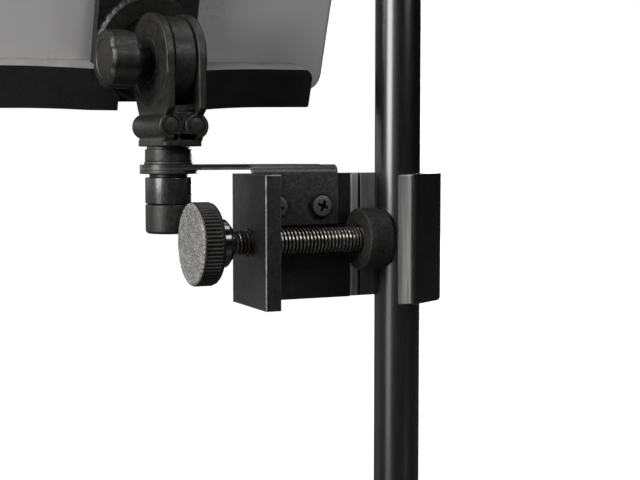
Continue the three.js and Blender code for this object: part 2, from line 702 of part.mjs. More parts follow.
const cradle = new THREE.Group();
cradle.rotation.y = -ROLL;
cradle.add(...cradleParts(), ...topArmParts(), ...tabletParts(), ...tabletButtons());
tilting.add(cradle);

export default teleprompter;
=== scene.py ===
"""Looks of a tablet teleprompter clamped to a round pole, built around its CAD frame.

Every piece is made in millimetres in the axes of the mechanism it belongs to (clamp, screw, head,
tilting knuckle or cradle), and is then placed in the row frame, in metres. The axes come from the
frame's joints, and sizes come from the CAD nodes.
"""

import json
import math

import bmesh
import bpy
from mathutils import Matrix, Vector


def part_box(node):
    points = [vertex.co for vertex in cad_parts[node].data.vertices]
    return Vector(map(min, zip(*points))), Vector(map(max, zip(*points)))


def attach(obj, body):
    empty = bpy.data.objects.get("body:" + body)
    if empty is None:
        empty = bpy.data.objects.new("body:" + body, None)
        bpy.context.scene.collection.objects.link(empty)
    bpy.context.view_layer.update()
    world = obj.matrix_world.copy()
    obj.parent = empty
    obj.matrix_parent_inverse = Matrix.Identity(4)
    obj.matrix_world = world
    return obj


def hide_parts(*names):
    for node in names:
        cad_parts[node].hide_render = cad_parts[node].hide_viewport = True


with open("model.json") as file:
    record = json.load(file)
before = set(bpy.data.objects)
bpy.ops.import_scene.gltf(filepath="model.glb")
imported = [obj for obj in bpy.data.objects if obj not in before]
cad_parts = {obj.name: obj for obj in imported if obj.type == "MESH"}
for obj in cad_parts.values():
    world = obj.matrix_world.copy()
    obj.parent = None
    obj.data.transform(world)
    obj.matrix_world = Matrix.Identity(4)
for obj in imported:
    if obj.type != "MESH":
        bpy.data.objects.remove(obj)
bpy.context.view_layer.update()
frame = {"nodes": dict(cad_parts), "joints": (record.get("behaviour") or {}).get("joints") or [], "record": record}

MM = 0.001
TAU = math.tau
JOINTS = {joint["name"]: joint for joint in frame["joints"]}
BODY_OF = {
    node: body
    for body, nodes in frame["record"]["behaviour"]["bodies"].items()
    for node in nodes
}
SLOT_OF = {part["node"]: part["material_slot"] for part in frame["record"]["subparts"]}


# ---- axes of the mechanisms
def axes(origin, x, y):
    """The matrix from local metres to the row frame, with local Z square to x and y."""
    x, y = Vector(x).normalized(), Vector(y).normalized()
    z = x.cross(y)
    rows = [(x[i], y[i], z[i], origin[i]) for i in range(3)]
    return Matrix([*rows, (0, 0, 0, 1)])


def pivot(joint):
    return Vector(JOINTS[joint]["pos_m"])


def direction(joint):
    return Vector(JOINTS[joint]["axis"])


UP = Vector((0, 0, 1))
CLAMP_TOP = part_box("clamp_frame")[1].z
POLE = Matrix.Identity(4)
CLAMP = axes((0, 0, CLAMP_TOP), (1, 0, 0), (0, 1, 0))
SCREW = axes((0, 0, pivot("screw_turn").z), (1, 0, 0), (0, 1, 0))
TILT_AXIS = direction("head_tilt")
AWAY = -direction("cradle_turn")
CRADLE_UP = direction("top_arm_slide")
HEAD = axes((*pivot("head_pan").xy, CLAMP_TOP), TILT_AXIS, UP.cross(TILT_AXIS))
PIVOT = axes(pivot("head_tilt"), TILT_AXIS, UP.cross(TILT_AXIS))
TILT = axes(pivot("head_tilt"), TILT_AXIS, AWAY)
CRADLE = axes(pivot("head_tilt"), AWAY.cross(CRADLE_UP), AWAY)


def extent(node, place):
    """A CAD node's lowest and highest corners in a mechanism's axes, in millimetres."""
    into = place.inverted()
    points = [(into @ v.co) / MM for v in frame["nodes"][node].data.vertices]
    low = Vector([min(p[i] for p in points) for i in range(3)])
    high = Vector([max(p[i] for p in points) for i in range(3)])
    return low, high


def round_extent(name, place):
    """A round CAD node's lowest and highest corners, its middle, and its radius along X."""
    low, high = extent(name, place)
    return low, high, (low + high) / 2, (high.x - low.x) / 2


# ---- materials
def feed(tree, socket, value):
    """Links a socket's value into another socket, or sets it to a number or colour."""
    if isinstance(value, bpy.types.NodeSocket):
        tree.links.new(value, socket)
    else:
        socket.default_value = value


def node(tree, kind, **values):
    """A new shader node. Keys are its properties or, with spaces as underscores, its inputs."""
    made = tree.nodes.new(kind)
    for key, value in values.items():
        if hasattr(made, key):
            setattr(made, key, value)
        else:
            feed(tree, made.inputs[key.replace("_", " ")], value)
    return made


def worked_out(tree, operation, *values):
    """The result of a maths node. Each value is a number or a socket."""
    made = node(tree, "ShaderNodeMath", operation=operation)
    for socket, value in zip(made.inputs, values):
        feed(tree, socket, value)
    return made.outputs["Value"]


def noise(tree, size_mm, stretch=(1, 1, 1), detail=3.0):
    """Noise with features of about size_mm, fixed to the object."""
    place = node(tree, "ShaderNodeTexCoord").outputs["Object"]
    spot = node(tree, "ShaderNodeMapping", Scale=stretch, Vector=place).outputs["Vector"]
    made = node(tree, "ShaderNodeTexNoise", Scale=1 / (size_mm * MM), Detail=detail, Vector=spot)
    return made.outputs["Fac"]


def spread(tree, value, low, high, start=0.3, end=0.7):
    """value remapped so that start gives low and end gives high."""
    made = node(tree, "ShaderNodeMapRange", From_Min=start, From_Max=end, To_Min=low, To_Max=high,
                Value=value)
    return made.outputs["Result"]


def mixed(tree, factor, a, b):
    """A colour between a and b, each three numbers or a socket."""
    made = node(tree, "ShaderNodeMix", data_type="RGBA", Factor=factor)
    for colour, name in ((a, "A"), (b, "B")):
        socket = next(s for s in made.inputs if s.name == name and s.type == "RGBA")
        feed(tree, socket, (*colour, 1) if isinstance(colour, tuple) else colour)
    return next(s for s in made.outputs if s.type == "RGBA")


def scaled(tree, colour, factor):
    made = node(tree, "ShaderNodeVectorMath", operation="SCALE", Scale=factor)
    feed(tree, made.inputs[0], colour)
    return made.outputs["Vector"]


def likeness(tree, a, b):
    """The dot product of two directions."""
    made = node(tree, "ShaderNodeVectorMath", operation="DOT_PRODUCT")
    feed(tree, made.inputs[0], a)
    feed(tree, made.inputs[1], b)
    return made.outputs["Value"]


def worn_and_highlit_edges(tree, radius_mm):
    """Up to 1 on convex and concave edges, 0 on the flats: worn patches reach 1, and an even 0.4 along every edge
    paints a highlight line.
    """
    smooth = node(tree, "ShaderNodeBevel", samples=4, Radius=radius_mm * MM)
    flat = node(tree, "ShaderNodeNewGeometry")
    turn = likeness(tree, smooth.outputs["Normal"], flat.outputs["Normal"])
    edge = spread(tree, turn, 1, 0, 0.84, 0.985)
    return worked_out(tree, "MULTIPLY", edge, spread(tree, noise(tree, 5), 0.4, 1, 0.4, 0.65))


def surface(
    name,
    colour,
    roughness,
    metallic=0.0,
    mottle=0.2,
    mottle_mm=9.0,
    polish=0.06,
    grain_mm=0.35,
    grain=0.25,
    depth_mm=0.03,
    stretch=(1, 1, 1),
    wear_and_highlight=None,
    dust=0.0,
    coat=0.0,
    specular=0.5,
    fleck=0.0,
):
    """A procedural finish: mottled colour with fine flecks in it, uneven polish, a fine grain in the
    surface, pale dust specks, bare material on worn edges, and a pale line painted along every edge as a
    highlight."""
    material = bpy.data.materials.new(name)
    material.use_nodes = True
    tree = material.node_tree
    dark = tuple(c * (1 - mottle) for c in colour)
    pale = tuple(c * (1 + mottle) for c in colour)
    shade = mixed(tree, spread(tree, noise(tree, mottle_mm, stretch), 0, 1), dark, pale)
    rough = spread(tree, noise(tree, mottle_mm / 3, stretch), roughness - polish, roughness + polish)
    if fleck:
        grains = noise(tree, grain_mm * 1.8, stretch, detail=1.0)
        shade = scaled(tree, shade, spread(tree, grains, 1 - fleck, 1 + fleck, 0.36, 0.64))
    if dust:
        specks = spread(tree, noise(tree, 0.5, detail=1.0), 0, dust, 0.66, 0.78)
        shade = mixed(tree, specks, shade, (0.32, 0.31, 0.30))
    # The edge colour is partly worn bare patches and partly a painted highlight line along every edge.
    if wear_and_highlight:
        shade = mixed(tree, worn_and_highlit_edges(tree, 0.5), shade, wear_and_highlight)
    height = noise(tree, grain_mm, stretch, detail=2.0)
    bump = node(tree, "ShaderNodeBump", Strength=grain, Distance=depth_mm * MM, Height=height)
    finish = {
        "Base Color": shade, "Roughness": rough, "Normal": bump.outputs["Normal"], "Metallic": metallic,
        "Coat Weight": coat, "Coat Roughness": 0.08, "Specular IOR Level": specular,
    }
    for name_of_input, value in finish.items():
        feed(tree, tree.nodes["Principled BSDF"].inputs[name_of_input], value)
    return material


def position(tree):
    """The X, Y and Z sockets of a point of the object, in metres in the row frame."""
    place = node(tree, "ShaderNodeTexCoord").outputs["Object"]
    return node(tree, "ShaderNodeSeparateXYZ", Vector=place).outputs


def shaded_across(look, dark_x, full_x):
    """Paints shade into a finish's colour, darkest at one X and fading out by another, in metres in the row frame.
    """
    tree = look.node_tree
    shader = tree.nodes["Principled BSDF"]
    unshaded = shader.inputs["Base Color"].links[0].from_socket
    share = spread(tree, position(tree)["X"], 0.3, 1, dark_x, full_x)
    tree.links.new(scaled(tree, unshaded, share), shader.inputs["Base Color"])


def painted_above(look, height, left_of):
    """Black paint over a finish, above a slightly ragged line at a height and left of an X, in metres."""
    tree = look.node_tree
    shader = tree.nodes["Principled BSDF"]
    bare = shader.inputs["Base Color"].links[0].from_socket
    spot = position(tree)
    rag, soft, softer = 0.6 * MM, 0.1 * MM, 0.5 * MM
    ragged = worked_out(tree, "MULTIPLY_ADD", noise(tree, 0.7), rag, spot["Z"])
    line = height + rag / 2
    over = spread(tree, ragged, 0, 1, line - soft, line + soft)
    beyond = spread(tree, spot["X"], 0.93, 0, left_of - softer, left_of + softer)
    paint = worked_out(tree, "MAXIMUM", over, beyond)
    tree.links.new(mixed(tree, paint, bare, (0.012, 0.012, 0.012)), shader.inputs["Base Color"])
    tree.links.new(spread(tree, paint, 0.9, 0, 0, 1), shader.inputs["Metallic"])


# Bare metal on worn edges, also used for the painted highlight line along all edges.
BARE_EDGE_AND_HIGHLIGHT = (0.12, 0.12, 0.115)
LOOKS = {
    "pole_black": surface(
        "satin_pole_paint", (0.005, 0.005, 0.005), 0.25, mottle_mm=25, grain_mm=0.5, grain=0.10,
        polish=0.02, dust=0.03, coat=0.1, specular=0.62, stretch=(1, 1, 0.08), fleck=0.3),
    "frame_black": surface(
        "black_powder_coat", (0.009, 0.0088, 0.009), 0.36, grain_mm=0.34, grain=0.5,
        wear_and_highlight=BARE_EDGE_AND_HIGHLIGHT, dust=0.03, specular=0.36, fleck=0.5),
    "gloss_black": surface(
        "gloss_black", (0.008, 0.008, 0.009), 0.16, polish=0.04, grain_mm=1.5, grain=0.08,
        coat=0.5, dust=0.03),
    "black_plastic": surface(
        "moulded_black_plastic", (0.010, 0.0097, 0.009), 0.44, mottle=0.5, mottle_mm=4.5,
        polish=0.1, grain_mm=0.3, grain=0.7, depth_mm=0.06, dust=0.08, specular=0.36, fleck=0.4),
    "dark_steel": surface(
        "black_oxide_steel", (0.055, 0.053, 0.050), 0.38, metallic=0.8, mottle=0.35, mottle_mm=1.2,
        grain_mm=0.25, grain=0.4, wear_and_highlight=(0.35, 0.34, 0.32)),
    "bright_steel": surface(
        "bright_steel", (0.36, 0.36, 0.35), 0.30, metallic=1.0, mottle=0.12, mottle_mm=2,
        grain_mm=0.3, grain=0.25),
    "rubber": surface(
        "black_rubber", (0.010, 0.0095, 0.009), 0.7, mottle=0.5, mottle_mm=2.5, grain_mm=0.5,
        grain=0.8, depth_mm=0.06, dust=0.12, specular=0.3, fleck=0.6),
    "grey_liner": surface(
        "grey_liner", (0.34, 0.335, 0.33), 0.36, metallic=0.5, mottle=0.4, mottle_mm=1.0,
        grain_mm=0.4, grain=0.4, stretch=(1, 1, 0.04)),
    "dark_liner": surface(
        "dark_liner", (0.10, 0.094, 0.095), 0.6, mottle=0.25, mottle_mm=2, grain_mm=0.4,
        grain=0.5, stretch=(1, 1, 0.2)),
    "tablet_grey": surface(
        "anodised_tablet_back", (0.56, 0.55, 0.55), 0.30, metallic=0.35, mottle=0.06, mottle_mm=40,
        polish=0.03, grain_mm=2.5, grain=0.02, depth_mm=0.005),
    "tablet_glass": surface(
        "tablet_glass", (0.004, 0.004, 0.005), 0.06, mottle=0.1, mottle_mm=60, polish=0.015,
        grain_mm=20, grain=0.02, coat=1.0),
    "button_grey": surface(
        "anodised_button", (0.24, 0.24, 0.25), 0.32, metallic=0.8, mottle=0.06, mottle_mm=4,
        grain_mm=0.2, grain=0.2),
}
CUT_STEEL = surface(
    "cut_steel_edge", (0.30, 0.29, 0.28), 0.26, metallic=0.95, mottle=0.35, mottle_mm=1.2,
    grain_mm=0.3, grain=0.5, stretch=(1, 1, 0.3))
SHEARED_EDGE = surface(
    "sheared_edge", (0.30, 0.29, 0.28), 0.3, metallic=0.9, mottle=0.3, mottle_mm=1.2, grain_mm=0.3,
    grain=0.4)
PLATE_PAINT = surface(
    "arm_powder_coat", (0.021, 0.0205, 0.021), 0.40, mottle_mm=4, grain_mm=0.55, grain=0.8,
    depth_mm=0.05, wear_and_highlight=BARE_EDGE_AND_HIGHLIGHT, dust=0.04, specular=0.42, fleck=0.45)
# A paler finish on the left jaw's rounded front edges: a painted highlight.
JAW_EDGE_PAINTED_HIGHLIGHT = surface(
    "painted_jaw_edge_highlight", (0.15, 0.147, 0.142), 0.45, metallic=0.5, mottle=0.45, mottle_mm=3, grain_mm=0.3,
    grain=0.5)
CREST_STEEL = surface(
    "worn_thread_crest", (0.22, 0.20, 0.18), 0.32, metallic=0.95, mottle=0.5, mottle_mm=1.5,
    grain_mm=0.3, grain=0.3)
SCREEN = surface(
    "dark_screen", (0.010, 0.010, 0.012), 0.10, mottle=0.08, mottle_mm=80, polish=0.02,
    grain_mm=25, grain=0.02, coat=0.8)
# The knob's plastic, stippled and paler: painted light on the face.
KNOB_FACE_PAINTED_LIGHT = surface(
    "stippled_knob_face_painted_light", (0.12, 0.118, 0.112), 0.6, mottle=0.3, mottle_mm=3.5, grain_mm=0.4,
    grain=1.0, depth_mm=0.16, dust=0.3, fleck=0.6)
SATIN_BLACK = surface(
    "satin_black", (0.010, 0.010, 0.010), 0.27, mottle=0.3, mottle_mm=3, grain_mm=0.6, grain=0.15,
    dust=0.04, specular=0.6)
# The tablet's own finish, darker: a painted dark reflection on its curved edges.
TABLET_EDGE_DARK_REFLECTION = surface(
    "tablet_edge_painted_dark_reflection", (0.16, 0.157, 0.156), 0.36, metallic=0.6, mottle=0.08, mottle_mm=20,
    polish=0.03, grain_mm=2.5, grain=0.02, depth_mm=0.005)
# A copy of the grey liner finish, which gets painted shade across it in make_clamp.
FRONT_LINER = surface(
    "front_jaw_liner", (0.34, 0.335, 0.33), 0.38, metallic=0.4, mottle=0.35, mottle_mm=1.0,
    grain_mm=0.4, grain=0.4, stretch=(1, 1, 0.04))
# A pale strip on the lip's top face: a painted reflection.
LIP_TOP_PAINTED_REFLECTION = surface(
    "painted_lip_top_reflection", (0.22, 0.218, 0.21), 0.5, mottle=0.12, mottle_mm=6, grain_mm=0.4, grain=0.5)
THIN_WASHER = surface(
    "blackened_washer", (0.020, 0.020, 0.019), 0.42, metallic=0.3, mottle=0.5, mottle_mm=1.5,
    grain_mm=0.3, grain=0.4, dust=0.1)
SCREW_FACE = surface(
    "oxide_screw_face", (0.075, 0.073, 0.070), 0.5, metallic=0.4, mottle=0.35, mottle_mm=1.5,
    grain_mm=0.25, grain=0.5, fleck=0.4)
# Black that paints shade in recesses and on dark flanks.
PAINTED_SHADE_BLACK = surface("painted_shade_black", (0.004, 0.004, 0.004), 0.8, specular=0.1)
LENS = surface("camera_lens", (0.006, 0.007, 0.012), 0.05, polish=0.01, grain=0.02, coat=1.0)


# ---- outlines
def rounded(points, radius, steps=5, closed=True):
    """An outline with its corners turned into arcs. A point may hold its own radius as a third number."""
    made = []
    count = len(points)
    for i, point in enumerate(points):
        corner = Vector(point[:2])
        wanted = point[2] if len(point) > 2 else radius
        if wanted <= 0 or (not closed and i in (0, count - 1)):
            made.append(tuple(corner))
            continue
        to_last = Vector(points[i - 1][:2]) - corner
        to_next = Vector(points[(i + 1) % count][:2]) - corner
        half = to_last.angle(to_next, math.pi) / 2
        if math.pi / 2 - half < 0.02:
            made.append(tuple(corner))
            continue
        reach = min(wanted / math.tan(half), 0.48 * to_last.length, 0.48 * to_next.length)
        start = corner + to_last.normalized() * reach
        end = corner + to_next.normalized() * reach
        weight = math.sin(half)
        for step in range(steps + 1):
            t = step / steps
            a, b, c = (1 - t) ** 2, 2 * t * (1 - t) * weight, t * t
            made.append(tuple((start * a + corner * b + end * c) / (a + b + c)))
    return made


def rectangle(x, y, radius=0.0, steps=5):
    corners = [(x[0], y[0]), (x[1], y[0]), (x[1], y[1]), (x[0], y[1])]
    return rounded(corners, radius, steps) if radius > 0 else corners


def grown(x, y, by):
    return (x[0] - by, x[1] + by), (y[0] - by, y[1] + by)


def circle(radius, count):
    return [(radius * math.cos(TAU * i / count), radius * math.sin(TAU * i / count)) for i in range(count)]


def hexagon(across_flats):
    return circle(across_flats / math.sqrt(3), 6)


# ---- closed shapes, in millimetres
def along(axis, height, a, b):
    """A point at a height on an axis, with the other two coordinates in X, Y, Z order."""
    return {"x": (height, a, b), "y": (a, height, b), "z": (a, b, height)}[axis]


def bridge(bm, low, high, material=0):
    """Faces between two rings of vertices. A ring of one vertex is a point."""
    count = max(len(low), len(high))
    for i in range(count):
        j = (i + 1) % count
        corners = [low[i % len(low)], low[j % len(low)], high[j % len(high)], high[i % len(high)]]
        corners = list(dict.fromkeys(corners))
        if len(corners) > 2:
            bm.faces.new(corners).material_index = material


def lathe(axis, profile, turns=96, ripple=None, closed=False, material=None):
    """A profile of (radius, height) points turned round an axis. ripple(angle, radius, height)
    changes the radius, and material(radius, height) picks a material for the faces after a point."""
    bm = bmesh.new()
    rings = []
    for radius, height in profile:
        if radius < 1e-6:
            rings.append([bm.verts.new(along(axis, height, 0, 0))])
            continue
        ring = []
        for i in range(turns):
            angle = TAU * i / turns
            r = ripple(angle, radius, height) if ripple else radius
            ring.append(bm.verts.new(along(axis, height, r * math.cos(angle), r * math.sin(angle))))
        rings.append(ring)
    pairs = list(zip(rings, rings[1:]))
    if closed:
        pairs.append((rings[-1], rings[0]))
    for (low, high), point in zip(pairs, profile):
        bridge(bm, low, high, material(*point) if material else 0)
    return bm


def spool(axis, profile, radius=0.3, turns=96, **options):
    """A lathe of an open profile from axis to axis with rounded corners."""
    return lathe(axis, rounded(profile, radius, 4, closed=False), turns, **options)


def rod(axis, radius, low, high, edge=0, turns=96):
    """A plain cylinder round an axis. Its rims are rounded where edge is above 0."""
    return spool(axis, [(0, low), (radius, low), (radius, high), (0, high)], edge, turns)


def hoop(axis, inner, outer, low, high, radius=0.25, turns=96):
    """A ring of rectangular section with rounded corners."""
    profile = rounded([(inner, low), (outer, low), (outer, high), (inner, high)], radius, 4)
    return lathe(axis, profile, turns, closed=True)


def prism(axis, outline, low, high):
    bm = bmesh.new()
    ends = [[bm.verts.new(along(axis, h, a, b)) for a, b in outline] for h in (low, high)]
    bridge(bm, *ends)
    for end in ends:
        bm.faces.new(end)
    return bm


def block(x, y, z):
    return prism("z", rectangle(x, y), *z)


def stack(axis, layers, materials=()):
    """A closed body through outlines of equal length, each (height, outline). The last face can have
    a material of its own."""
    bm = bmesh.new()
    rings = [[bm.verts.new(along(axis, h, a, b)) for a, b in outline] for h, outline in layers]
    for i, (low, high) in enumerate(zip(rings, rings[1:])):
        bridge(bm, low, high, materials[i] if i < len(materials) else 0)
    bm.faces.new(rings[0])
    bm.faces.new(rings[-1]).material_index = materials[-1] if materials else 0
    return bm


def pill(axis, x, y, low, high, corner, edge, steps=5):
    """A rounded rectangle with rounded upper and lower edges."""
    layers = []
    for start, turn in ((low, -1), (high, 1)):
        for step in range(steps + 1):
            angle = (1 - step / steps if turn < 0 else step / steps) * math.pi / 2
            inset = edge * (1 - math.cos(angle))
            height = start + turn * edge * (math.sin(angle) - 1)
            layers.append((height, rectangle(*grown(x, y, -inset), corner - inset, 8)))
    return stack(axis, layers)


def crest_share(phase):
    """How far a thread stands up at a phase of its pitch: 1 on its crest, and below 0 in its root."""
    return min(1.0, 2.3 - abs(phase - 0.5) * 6)


def thread(axis, major, depth, pitch, low, high, turns=72, steps=12):
    """A screw thread with a continuous helical crest, which fades out at both ends."""
    bm = bmesh.new()
    rows = int((high - low) / pitch) * steps + 2 * steps
    minor = major - depth
    grid = []
    for k in range(-steps, rows):
        ring = []
        crest = max(0.0, crest_share((k % steps) / steps))
        for i in range(turns):
            angle = TAU * i / turns
            h = low + pitch * (k / steps + i / turns)
            inside = min(h - low, high - h)
            fade = min(1.0, max(0.0, inside / pitch))
            r = minor + depth * crest * fade
            h = min(max(h, low), high)
            ring.append(bm.verts.new(along(axis, h, r * math.cos(angle), r * math.sin(angle))))
        grid.append(ring)
    for k in range(len(grid) - 1):
        is_crest = int(crest_share(((k - steps) % steps + 0.5) / steps) > 0.98)
        for i in range(turns):
            if i < turns - 1:
                corners = [grid[k][i], grid[k][i + 1], grid[k + 1][i + 1], grid[k + 1][i]]
            elif k + 1 + steps < len(grid):
                corners = [grid[k][i], grid[k + steps][0], grid[k + steps + 1][0], grid[k + 1][i]]
            else:
                continue
            bm.faces.new(corners).material_index = is_crest
    bmesh.ops.remove_doubles(bm, verts=bm.verts, dist=1e-4)
    bmesh.ops.dissolve_degenerate(bm, dist=1e-5, edges=bm.edges)
    bmesh.ops.holes_fill(bm, edges=[e for e in bm.edges if e.is_boundary], sides=0)
    return bm


def tube(points, radius, sides):
    """A round wire along a line of points, with flat ends."""
    bm = bmesh.new()
    rings = []
    for i, point in enumerate(points):
        ahead = Vector(points[min(i + 1, len(points) - 1)]) - Vector(points[max(i - 1, 0)])
        across = ahead.orthogonal() if i == 0 else across - across.project(ahead)
        across.normalize()
        up = ahead.normalized().cross(across)
        ring = []
        for k in range(sides):
            angle = TAU * k / sides
            offset = across * math.cos(angle) + up * math.sin(angle)
            ring.append(bm.verts.new(Vector(point) + offset * radius))
        rings.append(ring)
    for low, high in zip(rings, rings[1:]):
        bridge(bm, low, high)
    bm.faces.new(rings[0])
    bm.faces.new(rings[-1])
    return bm


def moved(bm, *offset):
    bmesh.ops.translate(bm, verts=bm.verts, vec=offset)
    return bm


def turned(bm, axis, angle):
    bmesh.ops.rotate(bm, verts=bm.verts, matrix=Matrix.Rotation(angle, 3, axis))
    return bm


def joined(*shapes):
    """Several closed shapes in one mesh."""
    bm = bmesh.new()
    for shape in shapes:
        mesh = bpy.data.meshes.new("part")
        shape.to_mesh(mesh)
        shape.free()
        bm.from_mesh(mesh)
        bpy.data.meshes.remove(mesh)
    return bm


def as_object(bm, name="scratch"):
    """A linked object with a shape's faces turned outwards. The shape is freed."""
    bmesh.ops.recalc_face_normals(bm, faces=bm.faces)
    mesh = bpy.data.meshes.new(name)
    bm.to_mesh(mesh)
    bm.free()
    made = bpy.data.objects.new(name, mesh)
    bpy.context.scene.collection.objects.link(made)
    return made


def modified(base, *others):
    """The base object's evaluated mesh. It and the others are removed."""
    bpy.context.view_layer.update()
    result = base.evaluated_get(bpy.context.evaluated_depsgraph_get())
    bm = bmesh.new()
    bm.from_mesh(result.to_mesh())
    for used in (base, *others):
        mesh = used.data
        bpy.data.objects.remove(used)
        bpy.data.meshes.remove(mesh)
    return bm


def boolean(base, tools, operation):
    base = as_object(base)
    used = [as_object(tool) for tool in tools]
    for tool in used:
        cutter = base.modifiers.new("cut", "BOOLEAN")
        cutter.operation = operation
        cutter.solver = "EXACT"
        cutter.object = tool
    return modified(base, *used)


def cut(base, *tools):
    return boolean(base, tools, "DIFFERENCE")


def cast(shape, voxel, soften):
    """One smooth skin over overlapping shapes, with small fillets, as a moulding has."""
    base = as_object(shape)
    skin = base.modifiers.new("skin", "REMESH")
    skin.mode = "VOXEL"
    skin.voxel_size = voxel
    smooth = base.modifiers.new("soften", "SMOOTH")
    smooth.factor = 0.5
    smooth.iterations = soften
    return modified(base)


def from_node(name, place):
    """A CAD node's mesh in a mechanism's axes, with its flat faces whole again."""
    bm = bmesh.new()
    bm.from_mesh(frame["nodes"][name].data)
    bmesh.ops.remove_doubles(bm, verts=bm.verts, dist=1e-6)
    bm.transform(Matrix.Scale(1 / MM, 4) @ place.inverted())
    bmesh.ops.remove_doubles(bm, verts=bm.verts, dist=2e-3)
    bmesh.ops.dissolve_limit(bm, angle_limit=math.radians(0.6), verts=bm.verts, edges=bm.edges)
    return bm


def at(value, plane):
    """Whether a coordinate lies in a plane, to a twentieth of a millimetre."""
    return abs(value - plane) < 0.05


def soften_edges(bm, offset, steps, material, *tests):
    """Rounds the edges whose ends both pass one of the tests, and gives the new faces a material."""
    chosen = [e for e in bm.edges if any(all(test(v.co) for v in e.verts) for test in tests)]
    bmesh.ops.bevel(bm, geom=chosen, offset=offset, segments=steps, profile=0.5, affect="EDGES",
                    material=material)


# ---- pieces
def piece(
    name, shape, place, nodes=(), body=None, slot=None, looks=None, bevel=0.0, sharp=35, bevel_from=25,
):
    """A finished object on its body. It stands for nodes, and takes its body and slot from them."""
    body = body or BODY_OF[nodes[0]]
    slot = slot or SLOT_OF[nodes[0]]
    made = as_object(shape, name)
    mesh = made.data
    mesh.transform(place @ Matrix.Scale(MM, 4))
    mesh.shade_smooth()
    mesh.set_sharp_from_angle(angle=math.radians(sharp))
    for look in looks or [LOOKS[slot]]:
        mesh.materials.append(look)
    if bevel:
        edge = made.modifiers.new("edges", "BEVEL")
        edge.width = bevel * MM
        edge.segments = 3
        edge.limit_method = "ANGLE"
        edge.angle_limit = math.radians(bevel_from)
        edge.harden_normals = True
        edge.use_clamp_overlap = True
    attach(made, body)
    if nodes:
        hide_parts(*nodes)
    return made


def trimmed(node_name, place, bevel, **options):
    """A CAD node with rounded edges and a finish."""
    return piece(node_name + "_finished", from_node(node_name, place), place, [node_name],
                 bevel=bevel, **options)


# ---- pole section
def make_pole():
    """The painted tube and the plug in its lower end, which stands at Z 0."""
    low, high = extent("pole_tube", POLE)
    wall = 1.4
    outer, bore = high.x, high.x - wall
    piece("painted_pole", hoop("z", bore, outer, low.z, high.z, 0.3, 160), POLE, ["pole_tube"])

    top = extent("pole_bottom_plug", POLE)[1].z
    flange, fit = 1.5, bore - 0.3
    plug = [(0, 0.6), (outer - 3, 0.6), (outer - 2.4, 0), (outer - 0.3, 0), (outer, 0.5),
            (outer, flange), (fit, flange), (fit, top - 1), (bore - 1.2, top), (0, top)]
    piece("pole_end_plug", spool("z", plug, 0.15), POLE, ["pole_bottom_plug"])


def make_lock_ring():
    low, high = extent("pole_top_collar", POLE)
    ribs, rib_depth = 60, 0.22
    bore, chamfer, margin, step = 5.3, 0.6, 0.9, 0.02
    start, end = low.z + margin, high.z - margin

    def knurl(angle, radius, height):
        inside = radius > high.x - 0.5 and start <= height <= end
        return radius - (rib_depth * abs(math.sin(angle * ribs / 2)) if inside else 0)

    side = [low.z + chamfer, start, start + step, end - step, end, high.z - chamfer]
    profile = [(bore, low.z), (high.x - chamfer, low.z), *[(high.x, z) for z in side],
               (high.x - chamfer, high.z), (bore, high.z)]
    piece("knurled_lock_ring", lathe("z", profile, 480, knurl, closed=True), POLE, ["pole_top_collar"])


def make_pole_stud():
    """The stud's spigot fills the tube's end and goes through the lock ring. Its thread starts above."""
    ring_top = extent("pole_top_collar", POLE)[1].z + 0.3
    low, high = extent("pole_top_stud", POLE)
    shoulder, neck = low.z + 11.8, 5
    spigot = [(0, low.z), (high.x, low.z), (high.x, shoulder), (neck, shoulder), (neck, ring_top + 1),
              (0, ring_top + 1)]
    head = thread("z", high.x, 1.1, 2.31, ring_top, high.z)
    piece("threaded_pole_stud", joined(spool("z", spigot, 0.2, 72), head), POLE, ["pole_top_stud"])


# ---- clamp
def make_clamp():
    """The bent frame, with a painted highlight on its left jaw's rounded front edges, and the liners of its right
    jaw.
    """
    shape = from_node("clamp_frame", CLAMP)
    low, high = extent("clamp_frame", CLAMP)
    jaw_front = min(v.co.y for v in shape.verts if at(v.co.x, low.x))
    left_jaw_end, right_jaw_start, right_jaw_back = -50, 12, 12
    # The left jaw's front edges are rounded and take the paler material 1, a painted highlight.
    soften_edges(
        shape, 0.42, 4, 1,
        lambda c: at(c.x, low.x) and at(c.y, jaw_front),
        lambda c: at(c.z, high.z) and at(c.y, jaw_front) and c.x < left_jaw_end)
    soften_edges(
        shape, 1.3, 6, 0,
        lambda c: at(c.z, low.z) and c.x > right_jaw_start and c.y < right_jaw_back)
    piece("clamp_frame_finished", shape, CLAMP, ["clamp_frame"],
          looks=[LOOKS["frame_black"], JAW_EDGE_PAINTED_HIGHLIGHT], bevel=0.4)

    # The front liner's colour gets painted shade, darker towards its left end.
    shade_start = extent("jaw_liner_front", CLAMP)[0].x
    shaded_across(FRONT_LINER, shade_start * MM, (shade_start + 3) * MM)
    trimmed("jaw_liner_front", CLAMP, 0.3, looks=[FRONT_LINER])
    trimmed("jaw_liner_back", CLAMP, 0.25)
    trimmed("jaw_trim_strip", CLAMP, 0.25)


